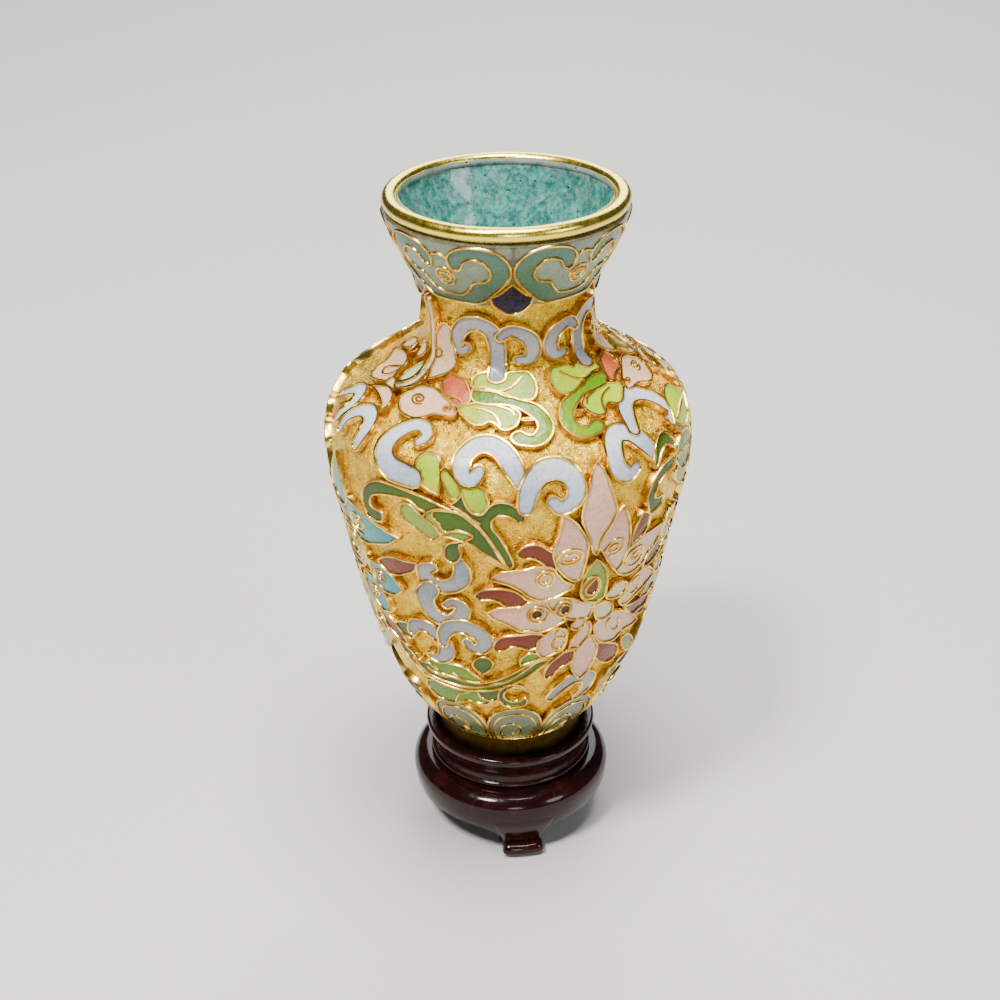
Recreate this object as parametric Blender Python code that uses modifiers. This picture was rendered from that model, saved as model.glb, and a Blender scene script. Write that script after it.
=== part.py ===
"""Miniature enamelled vase on a turned wooden stand.

The vase is a thin hollow body with a gilt ring on its lip and a gilt ring under its foot. Flowers,
leaves and scrolls stand proud of its ground. It sits loose in the recess of a lacquered stand with
three scroll feet.

Units are metres and +Z is up. The origin is on the floor at the middle of the stand, and -Y is the
front. A place in the pattern is given by degrees round the body from the front, growing towards +X,
and by a level: 0 at the base, 100 at the belly, 200 at the neck and 300 at the mouth.
"""
import math

import bmesh
import bpy
import numpy as np
from mathutils import Vector

MM = 0.001

# Clearance between pieces that seat on or in one another.
SEAT_GAP = 0.3 * MM

# Vase body, measured on its plain ground, without the raised work.
BODY_HEIGHT = 61.3 * MM
BODY_WALL = 1.1 * MM
BASE_RADIUS = 8.2 * MM
BELLY_RADIUS = 19.3 * MM
BELLY_RISE = 35.9 * MM
NECK_RADIUS = 8.5 * MM
NECK_RISE = 50.4 * MM
MOUTH_RADIUS = 12.2 * MM

# Raised work on the body: how far it stands proud, and how deep its foot is sunk in the wall.
RELIEF_PROUD = 0.45 * MM
RELIEF_SINK = 0.35 * MM

# Gilt rings.
LIP_RING_WIDTH = 1.6 * MM
LIP_RING_HEIGHT = 1.2 * MM
LIP_RING_OVERHANG = 0.55 * MM
FOOT_RING_WIDTH = 1.6 * MM
FOOT_RING_HEIGHT = 3.5 * MM
FOOT_RING_RADIUS = 8.5 * MM

# Stand: the collar that holds the foot ring, and under it a groove, a round bulge and a thin apron.
STAND_HEIGHT = 13.0 * MM
RECESS_DEPTH = 1.4 * MM
COLLAR_WALL = 1.2 * MM
COLLAR_HEIGHT = 4.0 * MM
WAIST_DEPTH = 0.75 * MM
BEAD_RADIUS = 0.25 * MM
GROOVE_DEPTH = 0.35 * MM
EDGE_ROUND = 0.25 * MM
BULGE_RADIUS = 11.8 * MM
BULGE_RISE = 4.4 * MM
APRON_RADIUS = 10.2 * MM
APRON_RISE = 1.6 * MM
HOLLOW_RADIUS = 7.8 * MM
HOLLOW_DEPTH = 3.6 * MM

# Openings between the feet, and the feet.
ARCH_RISE = 2.4 * MM
ARCH_HALF_WIDTH = 8.2 * MM
ARCH_CORNER = 2.9 * MM
FOOT_COUNT = 3
FOOT_TURN = 7.0
FOOT_WIDTH = 5.0 * MM
FOOT_THICKNESS = 1.5 * MM
TOE_REACH = 11.6 * MM
TOE_RADIUS = 0.8 * MM

# How finely round forms are divided. Stations crowd where an outline bends: a turn of one radian
# counts as this much length.
BODY_SEGMENTS = 28
BODY_STATIONS = 17
INSIDE_STATIONS = 11
RING_SEGMENTS = 30
STAND_SEGMENTS = 30
BEND_LENGTH = 8.0 * MM

# Heights of the pieces, from the floor up.
RECESS_Z = STAND_HEIGHT - RECESS_DEPTH
FOOT_RING_Z = RECESS_Z + SEAT_GAP
BODY_Z = FOOT_RING_Z + FOOT_RING_HEIGHT + SEAT_GAP
LIP_RING_Z = BODY_Z + BODY_HEIGHT + SEAT_GAP


def material(name, colour, roughness, metallic):
    """A plain Principled material in the piece's own colour."""
    made = bpy.data.materials.new(name)
    made.use_nodes = True
    made.diffuse_color = (*colour, 1.0)
    shader = made.node_tree.nodes["Principled BSDF"]
    shader.inputs["Base Color"].default_value = (*colour, 1.0)
    shader.inputs["Roughness"].default_value = roughness
    shader.inputs["Metallic"].default_value = metallic
    return made


def add_object(name, mesh, collection, finish=None):
    """Puts a mesh in the scene as a named object."""
    made = bpy.data.objects.new(name, mesh)
    collection.objects.link(made)
    if finish:
        mesh.materials.append(finish)
    return made


def smooth(obj):
    """Smooth shading that keeps the crisp edges of rings, pads and feet."""
    obj.data.shade_smooth()
    obj.data.set_sharp_from_angle(angle=math.radians(35))


def turned(name, profile, segments, collection, finish=None, closed=False):
    """A piece turned round Z from (radius, height) points that run down its outer side."""
    count = len(profile)
    edges = [(i, i + 1) for i in range(count - 1)]
    if closed:
        edges.append((count - 1, 0))
    mesh = bpy.data.meshes.new(name)
    mesh.from_pydata([(radius, 0.0, height) for radius, height in profile], edges, [])
    made = add_object(name, mesh, collection, finish)
    screw = made.modifiers.new("Turning", "SCREW")
    screw.steps = segments
    screw.render_steps = segments
    screw.use_merge_vertices = True
    screw.merge_threshold = 0.00001
    screw.use_smooth_shade = True
    return made


def boolean(obj, operation, other):
    """Cuts or joins another solid into a piece, exactly."""
    step = obj.modifiers.new(other.name, "BOOLEAN")
    step.operation = operation
    step.solver = "EXACT"
    step.use_self = True
    step.object = other


def as_tool(obj):
    """Marks a solid that only shapes another one."""
    obj.hide_render = True
    obj.display_type = "WIRE"


def arc(centre, radius, start, end, count):
    """Points on a circle in the profile plane, from one angle in degrees to another."""
    angles = np.radians(np.linspace(start, end, count))
    return [(centre[0] + radius * math.cos(a), centre[1] + radius * math.sin(a)) for a in angles]


def curve_through(knots):
    """A smooth line through (x, y) knots that never overshoots them, as a function of x."""
    x, y = np.array(knots, float).T
    steps = np.diff(x)
    slopes = np.diff(y) / steps
    tangents = np.zeros_like(y)
    tangents[0], tangents[-1] = slopes[0], slopes[-1]
    for i in range(1, len(x) - 1):
        before, after = slopes[i - 1], slopes[i]
        if before * after > 0.0:
            near = steps[i] + 2 * steps[i - 1]
            far = 2 * steps[i] + steps[i - 1]
            tangents[i] = (near + far) / (near / before + far / after)

    def value(at):
        i = int(np.clip(np.searchsorted(x, at) - 1, 0, len(steps) - 1))
        t = (at - x[i]) / steps[i]
        start, end = (1 + 2 * t) * (1 - t) ** 2, t * t * (3 - 2 * t)
        lead, trail = t * (1 - t) ** 2, t * t * (t - 1)
        bend = steps[i] * (lead * tangents[i] + trail * tangents[i + 1])
        return start * y[i] + end * y[i + 1] + bend

    return value


def body_knots():
    """The body's outline as heights above its base and radii.

    Each stretch is given as shares of its rise and of its change in radius: the taper from the base
    to the belly, the shoulder up to the neck, and the flare from the neck to the mouth.
    """
    taper = ((0.0, 0.0), (0.12, 0.30), (0.32, 0.575), (0.54, 0.75), (0.76, 0.885), (0.93, 0.99))
    shoulder = ((0.0, 0.0), (0.14, 0.02), (0.28, 0.09), (0.38, 0.25), (0.59, 0.665), (0.79, 0.963))
    flare = ((0.0, 0.0), (0.32, 0.147), (0.55, 0.43), (0.77, 0.76), (1.0, 1.0))
    stretches = (
        (taper, 0.0, BELLY_RISE, BASE_RADIUS, BELLY_RADIUS),
        (shoulder, BELLY_RISE, NECK_RISE, BELLY_RADIUS, NECK_RADIUS),
        (flare, NECK_RISE, BODY_HEIGHT, NECK_RADIUS, MOUTH_RADIUS),
    )
    knots = []
    for shares, low, high, start, end in stretches:
        for up, out in shares:
            knots.append((low + up * (high - low), start + out * (end - start)))
    return knots


ground_radius = curve_through(body_knots())


def lean(height):
    """How fast the ground's radius grows with height."""
    reach = 0.2 * MM
    return (ground_radius(height + reach) - ground_radius(height - reach)) / (2 * reach)


def ground_point(degrees, height, proud=0.0):
    """A point over the body's ground, at a height above the body's base, square to the surface."""
    slope = lean(height)
    along = proud / math.hypot(1.0, slope)
    radius = ground_radius(height) + along
    angle = math.radians(degrees)
    return Vector((radius * math.sin(angle), -radius * math.cos(angle), BODY_Z + height - along * slope))


def inner_radius(height):
    """The inside of the wall at a height, as far in as keeps its thickness square to the surface."""
    return ground_radius(height) - BODY_WALL * math.hypot(1.0, lean(height))


def profile_stations(low, high, count):
    """Heights along the body's outline, closer together where it bends."""
    heights = np.linspace(low, high, 400)
    radii = np.array([ground_radius(height) for height in heights])
    rise, out = np.diff(heights), np.diff(radii)
    turns = np.abs(np.diff(np.arctan2(out, rise), prepend=math.atan2(out[0], rise[0])))
    measure = np.concatenate(([0.0], np.cumsum(np.hypot(rise, out) + BEND_LENGTH * turns)))
    return np.interp(np.linspace(0.0, measure[-1], count), measure, heights)


def vase_body(collection, finish):
    """The hollow body: floor and inner wall up to the lip, then down the outside to the base."""
    floor = BODY_WALL
    inside = [(inner_radius(height), BODY_Z + height)
              for height in profile_stations(floor, BODY_HEIGHT, INSIDE_STATIONS)]
    outside = [(ground_radius(height), BODY_Z + height)
               for height in profile_stations(0.0, BODY_HEIGHT, BODY_STATIONS)]
    outside.reverse()
    outline = [(0.0, BODY_Z + floor)] + inside + outside + [(0.0, BODY_Z)]
    return turned("vase_body", outline, BODY_SEGMENTS, collection, finish)


def level_height(level):
    """The height above the base of one of the pattern's levels."""
    return np.interp(level, (0.0, 100.0, 200.0, 300.0), (0.0, BELLY_RISE, NECK_RISE, BODY_HEIGHT))


def millimetres_a_degree(height):
    """How far round the ground one degree reaches at a height."""
    return ground_radius(height) / MM * math.pi / 180


def smooth_line(points, widths, count):
    """Stations along a smooth line through drawn points, each with its half width in millimetres."""
    drawn = np.array(points, float)
    ends = np.vstack((2 * drawn[0] - drawn[1], drawn, 2 * drawn[-1] - drawn[-2]))
    line = []
    for step in np.linspace(0.0, len(drawn) - 1, count):
        i = min(int(step), len(drawn) - 2)
        t = step - i
        a, b, c, d = ends[i:i + 4]
        line.append(0.5 * (2 * b + (c - a) * t + (2 * a - 5 * b + 4 * c - d) * t ** 2
                           + (3 * b - 3 * c + d - a) * t ** 3))
    half = 0.5 * np.interp(np.linspace(0.0, 1.0, count), np.linspace(0.0, 1.0, len(widths)), widths)
    return line, half


def add_pad(bm, points, widths, count):
    """One raised pad: a band of varying width that follows the body, sunk a little in its wall.

    The points are (degrees, height above the base) and the widths are in millimetres.
    """
    line, half = smooth_line(points, widths, count)
    corners = ((1, RELIEF_PROUD), (-1, RELIEF_PROUD), (-1, -RELIEF_SINK), (1, -RELIEF_SINK))
    rings = []
    for i, (degrees, height) in enumerate(line):
        scale = millimetres_a_degree(height)
        ahead = line[min(i + 1, count - 1)] - line[max(i - 1, 0)]
        run = Vector((ahead[0] * scale, ahead[1] / MM)).normalized()
        across = -run.y * half[i] / scale
        up = run.x * half[i] * MM
        ring = []
        for side, proud in corners:
            ring.append(bm.verts.new(ground_point(degrees + side * across, height + side * up, proud)))
        rings.append(ring)
    for low, high in zip(rings, rings[1:]):
        for k in range(4):
            bm.faces.new((low[k], low[(k + 1) % 4], high[(k + 1) % 4], high[k]))
    bm.faces.new(rings[0])
    bm.faces.new(reversed(rings[-1]))


def add_band(bm, places, widths, turned_by):
    """A raised band through (degrees, level) places, turned round the body."""
    points = [(degrees + turned_by, level_height(level)) for degrees, level in places]
    add_pad(bm, points, widths, len(points) + 1)


def add_petal(bm, centre, base, tip, width):
    """A petal from its base to its tip, both in millimetres from the flower's centre."""
    degrees, level = centre
    height = level_height(level)
    scale = millimetres_a_degree(height)
    middle = ((base[0] + tip[0]) / 2, (base[1] + tip[1]) / 2)
    points = [(degrees + x / scale, height + y * MM) for x, y in (base, middle, tip)]
    add_pad(bm, points, (0.4 * width, width, 0.15 * width), len(points))


# Flowers: where the centre is, and for each petal its base, its tip and its width.
LOTUS_CENTRE = (29.5, 69.4)
LOTUS = (
    ((-0.5, 4.8), (-0.5, 14.8), 3.3),
    ((-3.4, 1.9), (-3.9, 9.6), 2.9),
    ((3.2, 1.3), (2.1, 9.6), 2.9),
    ((-3.2, 0.8), (-11.0, 3.1), 3.4),
    ((-3.8, -2.4), (-11.4, -2.0), 2.8),
    ((-2.6, -4.6), (-6.4, -7.6), 3.0),
    ((0.3, -5.4), (0.3, -13.6), 2.9),
    ((2.4, -4.6), (9.2, -9.2), 2.9),
    ((3.6, -2.0), (11.6, -4.2), 2.9),
    ((4.2, 1.0), (9.6, 4.4), 3.0),
    ((0.1, -1.8), (-0.4, 4.2), 2.6),
)
ASTER_CENTRE = (-66.0, 73.3)
ASTER = (
    ((0.0, 3.6), (0.0, 10.6), 3.2),
    ((2.2, 2.4), (9.0, 4.8), 3.2),
    ((2.8, -0.4), (7.6, -2.0), 2.4),
    ((1.8, -3.0), (5.4, -7.6), 2.6),
    ((-1.8, -3.0), (-5.4, -7.6), 2.6),
    ((-2.8, -0.4), (-7.6, -2.0), 2.4),
    ((-2.2, 2.4), (-9.0, 4.8), 3.2),
)
SHOULDER_FLOWER_CENTRES = ((-61.0, 160.7), (98.0, 160.7))
SHOULDER_FLOWER = (
    ((1.8, 1.0), (3.4, 5.0), 2.2),
    ((-1.8, 1.0), (-3.4, 5.0), 2.2),
    ((2.6, -1.2), (8.2, -1.6), 2.2),
    ((-2.6, -1.2), (-8.2, -1.6), 2.2),
)

# Leaves and scrolls on one half of the body: the places that each runs through, and its widths.
LEAVES = (
    (((-18, 165.5), (-3, 166.2), (13, 166.9)), (0.5, 1.3, 1.2, 0.4)),
    (((-20, 149.7), (-9, 151.0), (3, 149.0)), (0.4, 1.2, 1.3, 0.4)),
    (((-15, 159.3), (5, 158.6), (14, 151.0), (10, 140.7), (3, 142.1)), (0.5, 0.7, 1.0, 1.0, 0.6)),
    (((17, 164.8), (33, 167.6), (54, 167.6)), (0.5, 1.2, 1.2, 0.4)),
    (((52, 160.7), (31, 159.3), (23, 151.7), (26, 144.1), (34, 142.1)), (0.5, 0.7, 1.0, 1.0, 0.5)),
)
LOWER_LEAF = (
    (((-43, 49.0), (-51, 46.2), (-47, 39.0), (-30, 33.4), (-12, 33.4), (3, 36.8), (12, 41.2)),
     (0.9, 1.0, 1.1, 1.4, 1.5, 1.1, 0.4)),
    (((-38, 26.7), (-22, 27.9), (-8, 29.0), (2, 24.5), (8, 26.2)), (0.5, 1.5, 1.6, 1.0, 0.5)),
)
SPRAY = (
    (((-44, 90.3), (-50, 92.5), (-46, 102.1), (-34, 106.2), (-21, 100.7)), (1.3, 1.1, 1.0, 1.0, 0.8)),
    (((-33, 96.4), (-24, 94.2), (-11, 95.8)), (0.8, 2.0, 0.6)),
    (((-14, 106.9), (-8, 96.4), (-3.5, 88.0), (-0.5, 81.3)), (0.8, 1.4, 1.2, 0.3)),
    (((-11, 91.9), (-17, 91.9), (-19, 87.5), (-17.5, 83.0)), (0.6, 0.9, 1.2, 0.8)),
    (((-6, 100.7), (-1, 106.9), (3, 98.1)), (0.7, 0.8, 0.5)),
    (((-26, 110.3), (-25, 120.0), (-25, 128.3)), (0.8, 2.0, 0.4)),
)
UPPER_SCROLLS = (
    (((-66, 124.1), (-63, 133.8), (-57, 134.5), (-54.5, 126.2)), (0.8, 0.9, 0.9, 0.8)),
    (((-31, 121.4), (-40, 121.4), (-40, 137.2), (-31, 141.4)), (1.1, 1.3, 1.1, 0.7)),
    (((3, 124.1), (-3, 137.2), (-12, 137.2), (-12, 125.5)), (1.0, 1.2, 1.2, 0.9)),
    (((5, 109.0), (8, 126.9), (17, 128.3), (20, 115.2), (15, 106.9)), (1.0, 1.2, 1.3, 1.2, 0.9)),
    (((49, 125.5), (42, 135.9), (34.5, 131.7), (37, 115.9)), (0.9, 1.1, 1.2, 0.9)),
    (((47, 139.3), (57, 146.9), (67, 140.7), (65, 133.1)), (0.8, 0.9, 0.9, 0.6)),
)
LOWER_SCROLLS = (
    (((-26.5, 78.0), (-26, 71.3), (-18, 71.9), (-15, 81.3)), (1.1, 1.2, 1.2, 0.8)),
    (((-27.5, 67.4), (-28, 61.3), (-20, 59.6), (-17, 64.6)), (1.1, 1.2, 1.2, 0.8)),
    (((-36.5, 52.1), (-31, 53.8), (-25, 49.6), (-28, 42.9)), (0.8, 1.0, 1.1, 0.9)),
    (((-22, 53.5), (-15, 56.5), (-10, 52.4), (-14.5, 49.0)), (0.9, 1.1, 1.2, 0.8)),
)
NECK_HOOKS = (
    (((-7, 175.9), (-7, 191.7), (-18, 211.0), (-32, 200.0), (-26, 190.3)), (0.8, 0.9, 1.1, 1.1, 0.7)),
    (((-3, 203.7), (9, 200.9), (15, 191.0), (7, 184.1)), (0.9, 1.0, 1.0, 0.6)),
    (((49, 204.6), (36, 200.0), (29.5, 190.3), (37, 182.8)), (0.9, 1.0, 1.0, 0.6)),
    (((52, 177.9), (53, 191.7), (64, 204.6), (80, 200.0), (78, 191.7)), (0.8, 0.9, 1.1, 1.1, 0.7)),
)
HALF_TURN = 180.0


def relief(name, collection):
    """An empty mesh for raised work, and the object that will join it to the body."""
    mesh = bpy.data.meshes.new(name)
    tool = add_object(name, mesh, collection)
    as_tool(tool)
    return tool, bmesh.new()


def finish_relief(tool, bm):
    """Closes the raised work's mesh with its faces pointing out."""
    bmesh.ops.triangulate(bm, faces=bm.faces)
    bmesh.ops.recalc_face_normals(bm, faces=bm.faces)
    bm.to_mesh(tool.data)
    bm.free()
    return tool


def bands(name, groups, collection):
    """Raised bands, drawn on one half of the body and repeated on the other."""
    tool, bm = relief(name, collection)
    for group in groups:
        for places, widths in group:
            for turned_by in (0.0, HALF_TURN):
                add_band(bm, places, widths, turned_by)
    return finish_relief(tool, bm)


def flowers(name, collection):
    """The raised petals of all the flowers."""
    tool, bm = relief(name, collection)
    blooms = [(centre, SHOULDER_FLOWER) for centre in SHOULDER_FLOWER_CENTRES]
    for turned_by in (0.0, HALF_TURN):
        for (degrees, level), petals in ((LOTUS_CENTRE, LOTUS), (ASTER_CENTRE, ASTER)):
            blooms.append(((degrees + turned_by, level), petals))
    for centre, petals in blooms:
        for base, tip, width in petals:
            add_petal(bm, centre, base, tip, width)
    return finish_relief(tool, bm)


def lip_ring(collection, finish):
    """The thick rounded gilt ring on the mouth."""
    outer = MOUTH_RADIUS + LIP_RING_OVERHANG
    inner = outer - LIP_RING_WIDTH
    round_off = 0.42 * min(LIP_RING_HEIGHT, LIP_RING_WIDTH)
    top, low = LIP_RING_Z + LIP_RING_HEIGHT, LIP_RING_Z
    section = arc((inner + round_off, top - round_off), round_off, 180, 90, 3)
    section += arc((outer - round_off, top - round_off), round_off, 90, 0, 3)
    section += arc((outer - round_off, low + round_off), round_off, 0, -90, 3)
    section += [(inner, low)]
    return turned("lip_ring", section, RING_SEGMENTS, collection, finish, closed=True)


def foot_ring(collection, finish):
    """The plain gilt ring that the body stands on."""
    outer, inner = FOOT_RING_RADIUS, FOOT_RING_RADIUS - FOOT_RING_WIDTH
    top, low = FOOT_RING_Z + FOOT_RING_HEIGHT, FOOT_RING_Z
    section = [(inner, top), (outer - EDGE_ROUND, top)]
    section += [(outer, top - EDGE_ROUND), (outer, low + EDGE_ROUND), (outer - EDGE_ROUND, low), (inner, low)]
    return turned("foot_ring", section, RING_SEGMENTS, collection, finish, closed=True)


def stand_profile():
    """The stand's outline from the middle of its recess, over the collar and bulge, to its hollow."""
    recess = FOOT_RING_RADIUS + SEAT_GAP
    collar = recess + COLLAR_WALL
    waist = collar - WAIST_DEPTH
    groove = waist - GROOVE_DEPTH
    groove_z = STAND_HEIGHT - COLLAR_HEIGHT - BEAD_RADIUS
    bead_z = groove_z + 2 * BEAD_RADIUS
    waist_z = STAND_HEIGHT - 0.4 * COLLAR_HEIGHT
    profile = [(0.0, RECESS_Z), (recess, RECESS_Z), (recess, STAND_HEIGHT - EDGE_ROUND)]
    profile += [(recess + EDGE_ROUND, STAND_HEIGHT), (collar - EDGE_ROUND, STAND_HEIGHT)]
    profile += [(collar, STAND_HEIGHT - EDGE_ROUND), (waist, waist_z), (waist, bead_z + BEAD_RADIUS)]
    profile += [(waist + BEAD_RADIUS, bead_z), (waist, bead_z - BEAD_RADIUS), (groove, groove_z)]
    bulge_z = APRON_RISE + BULGE_RISE
    for angle in (13, 32, 54, 74, 90):
        out = groove + (BULGE_RADIUS - groove) * math.sin(math.radians(angle))
        profile.append((out, bulge_z + (groove_z - bulge_z) * math.cos(math.radians(angle))))
    for angle in (27, 54, 76, 90):
        out = APRON_RADIUS + (BULGE_RADIUS - APRON_RADIUS) * math.cos(math.radians(angle))
        profile.append((out, bulge_z - BULGE_RISE * math.sin(math.radians(angle)) ** 1.5))
    profile += [(HOLLOW_RADIUS, APRON_RISE), (HOLLOW_RADIUS, HOLLOW_DEPTH), (0.0, HOLLOW_DEPTH)]
    return profile


def flat_outline(name, points, thickness, collection):
    """A solid of even thickness from an outline in the XZ plane, centred on Y = 0, as a mesh."""
    spline_data = bpy.data.curves.new(name, "CURVE")
    spline_data.dimensions = "2D"
    spline_data.fill_mode = "BOTH"
    spline_data.extrude = thickness / 2
    spline = spline_data.splines.new("POLY")
    spline.points.add(len(points) - 1)
    for point, (x, y) in zip(spline.points, points):
        point.co = (x, y, 0.0, 1.0)
    spline.use_cyclic_u = True
    curve = bpy.data.objects.new(name + "_outline", spline_data)
    collection.objects.link(curve)
    curve.rotation_euler = (math.radians(90), 0.0, 0.0)
    bpy.context.view_layer.update()
    evaluated = curve.evaluated_get(bpy.context.evaluated_depsgraph_get())
    mesh = bpy.data.meshes.new_from_object(evaluated)
    mesh.name = name
    bm = bmesh.new()
    bm.from_mesh(mesh)
    bmesh.ops.remove_doubles(bm, verts=bm.verts, dist=0.000001)
    bmesh.ops.recalc_face_normals(bm, faces=bm.faces)
    bm.to_mesh(mesh)
    bm.free()
    made = add_object(name, mesh, collection)
    made.matrix_world = curve.matrix_world
    bpy.data.objects.remove(curve)
    as_tool(made)
    return made


def arch_outline():
    """The opening between two feet: upright ends that roll over into a flat top."""
    below = -1.0 * MM
    rise = APRON_RISE + ARCH_RISE - below
    right = [(ARCH_HALF_WIDTH - ARCH_CORNER + ARCH_CORNER * x, below + rise * y)
             for x, y in arc((0.0, 0.0), 1.0, 0, 90, 8)]
    left = [(-x, y) for x, y in reversed(right)]
    return right + left


def foot_outline():
    """Side view of a foot: it comes out of the apron and rolls forward into a curled toe."""
    toe = (TOE_REACH - TOE_RADIUS, TOE_RADIUS)
    top = APRON_RISE + ARCH_RISE + FOOT_THICKNESS / 3
    instep = APRON_RISE + 0.5 * ARCH_RISE
    heel = APRON_RADIUS - FOOT_THICKNESS
    shin = [(APRON_RADIUS, top), (APRON_RADIUS, instep)]
    roll = arc(toe, TOE_RADIUS, 115, -90, 9)
    return shin + roll + [(heel + TOE_RADIUS / 2, 0.0), (heel, top)]


def display_stand(collection, cutters, finish):
    """The turned stand with its hollow underside, three arches and three scroll feet."""
    stand = turned("display_stand", stand_profile(), STAND_SEGMENTS, collection, finish)
    upright = math.radians(90)
    pitch = 360.0 / FOOT_COUNT
    for number in range(FOOT_COUNT):
        bearing = math.radians(FOOT_TURN - 90.0 + (number + 0.5) * pitch)
        arch = flat_outline(f"arch_{number + 1}", arch_outline(), TOE_REACH, cutters)
        arch.rotation_euler = (upright, 0.0, bearing + upright)
        out = 0.6 * HOLLOW_RADIUS + 0.5 * TOE_REACH
        arch.location = (out * math.cos(bearing), out * math.sin(bearing), 0.0)
        boolean(stand, "DIFFERENCE", arch)
    for number in range(FOOT_COUNT):
        bearing = math.radians(FOOT_TURN - 90.0 + number * pitch)
        foot = flat_outline(f"foot_{number + 1}", foot_outline(), FOOT_WIDTH, cutters)
        foot.rotation_euler = (upright, 0.0, bearing)
        boolean(stand, "UNION", foot)
    return stand


def main():
    for old in list(bpy.data.objects):
        bpy.data.objects.remove(old)
    parts = bpy.data.collections.new("miniature_vase")
    cutters = bpy.data.collections.new("cutters")
    for collection in (parts, cutters):
        bpy.context.scene.collection.children.link(collection)
    enamelled = material("enamelled_gilt", (0.72, 0.47, 0.12), 0.35, 0.8)
    gilt = material("gilt_brass", (0.83, 0.60, 0.20), 0.25, 1.0)
    lacquer = material("dark_lacquer", (0.045, 0.012, 0.010), 0.18, 0.0)

    body = vase_body(parts, enamelled)
    boolean(body, "UNION", flowers("raised_flowers", cutters))
    boolean(body, "UNION", bands("raised_leaves", (LEAVES, LOWER_LEAF), cutters))
    boolean(body, "UNION", bands("raised_sprays", (SPRAY,), cutters))
    boolean(body, "UNION", bands("raised_scrolls", (UPPER_SCROLLS, LOWER_SCROLLS, NECK_HOOKS), cutters))
    lip = lip_ring(parts, gilt)
    foot = foot_ring(parts, gilt)
    stand = display_stand(parts, cutters, lacquer)
    for piece in (body, lip, foot, stand):
        smooth(piece)


main()
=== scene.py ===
"""Looks of a miniature enamelled vase on its turned wooden stand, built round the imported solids.

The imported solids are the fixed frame. Each piece below replaces or dresses one of them: the gilt
ground with its pits, the fired enamel cells with their soldered wires, the rings and the stand.

The pattern is drawn as (degrees, height) places. Degrees run round the body from the front, growing
towards +X, and heights are in millimetres above a line just over the floor.
"""

import math
from functools import lru_cache

import bpy
import numpy as np
from bpy.props import FloatProperty, FloatVectorProperty, PointerProperty
from mathutils import Matrix, Vector, noise
from mathutils.geometry import delaunay_2d_cdt
from mathutils.kdtree import KDTree


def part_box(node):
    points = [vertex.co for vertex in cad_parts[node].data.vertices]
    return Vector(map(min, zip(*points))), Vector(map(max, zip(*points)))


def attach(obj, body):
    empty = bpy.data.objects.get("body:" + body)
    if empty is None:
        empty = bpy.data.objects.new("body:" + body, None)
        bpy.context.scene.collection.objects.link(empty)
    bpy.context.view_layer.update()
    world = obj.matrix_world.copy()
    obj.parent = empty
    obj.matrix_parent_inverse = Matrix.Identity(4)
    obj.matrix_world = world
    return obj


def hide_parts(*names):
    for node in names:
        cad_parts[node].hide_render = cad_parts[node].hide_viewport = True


bl_info = {
    "name": "Miniature enamelled vase",
    "version": (1, 0, 0),
    "blender": (4, 5, 0),
    "location": "3D View > Sidebar > Vase",
    "description": "Adds the gilt, enamelled and lacquered pieces of a miniature vase on its stand",
    "category": "Add Mesh",
}

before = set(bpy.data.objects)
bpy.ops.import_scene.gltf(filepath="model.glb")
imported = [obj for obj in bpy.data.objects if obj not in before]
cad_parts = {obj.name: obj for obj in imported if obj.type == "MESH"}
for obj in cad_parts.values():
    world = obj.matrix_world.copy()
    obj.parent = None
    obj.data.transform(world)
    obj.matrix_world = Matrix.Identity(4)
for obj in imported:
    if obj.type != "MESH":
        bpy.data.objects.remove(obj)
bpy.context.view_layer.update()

MM = 0.001
BODY_LOW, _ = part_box("vase_body")
LIP_LOW, LIP_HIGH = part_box("lip_ring")
FOOT_LOW, FOOT_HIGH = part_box("foot_ring")

# The line that the pattern's heights start from, in mm above the floor.
PATTERN_RISE = 2.1

# The body's plain outline, without its raised work: heights above the base, and radii, in mm.
OUTLINE = (
    (0.0, 8.2), (4.31, 11.53), (11.49, 14.58), (19.39, 16.53), (27.28, 18.02), (33.39, 19.19),
    (35.9, 19.3), (37.93, 19.08), (39.96, 18.33), (41.41, 16.6), (44.46, 12.12), (47.36, 8.9),
    (50.4, 8.5), (53.89, 9.04), (56.4, 10.09), (58.79, 11.31), (61.3, 12.2),
)
OUTLINE_STEPS = 1500


def smooth_table(knots, count):
    """A smooth line through (height, radius) knots that never overshoots them, as two arrays."""
    x, y = np.array(knots).T
    steps = np.diff(x)
    slopes = np.diff(y) / steps
    tangents = np.zeros_like(y)
    tangents[0], tangents[-1] = slopes[0], slopes[-1]
    for i in range(1, len(x) - 1):
        if slopes[i - 1] * slopes[i] > 0.0:
            near = steps[i] + 2 * steps[i - 1]
            far = 2 * steps[i] + steps[i - 1]
            tangents[i] = (near + far) / (near / slopes[i - 1] + far / slopes[i])
    at = np.linspace(x[0], x[-1], count)
    i = np.clip(np.searchsorted(x, at) - 1, 0, len(steps) - 1)
    t = (at - x[i]) / steps[i]
    bend = steps[i] * (t * (1 - t) ** 2 * tangents[i] + t * t * (t - 1) * tangents[i + 1])
    return at, (1 + 2 * t) * (1 - t) ** 2 * y[i] + t * t * (3 - 2 * t) * y[i + 1] + bend


HEIGHTS, RADII = smooth_table(OUTLINE, OUTLINE_STEPS)
SLOPES = np.gradient(RADII, HEIGHTS)
RUNS = np.concatenate(([0.0], np.cumsum(np.hypot(np.diff(HEIGHTS), np.diff(RADII)))))


def run_at(height):
    """The distance along the outline from the base, in mm, of a height in the pattern."""
    return np.interp(np.asarray(height, float) + PATTERN_RISE - BODY_LOW.z / MM, HEIGHTS, RUNS)


def degree_length(run):
    """How many millimetres one degree reaches round the ground."""
    return np.interp(run, RUNS, RADII) * math.pi / 180


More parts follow.
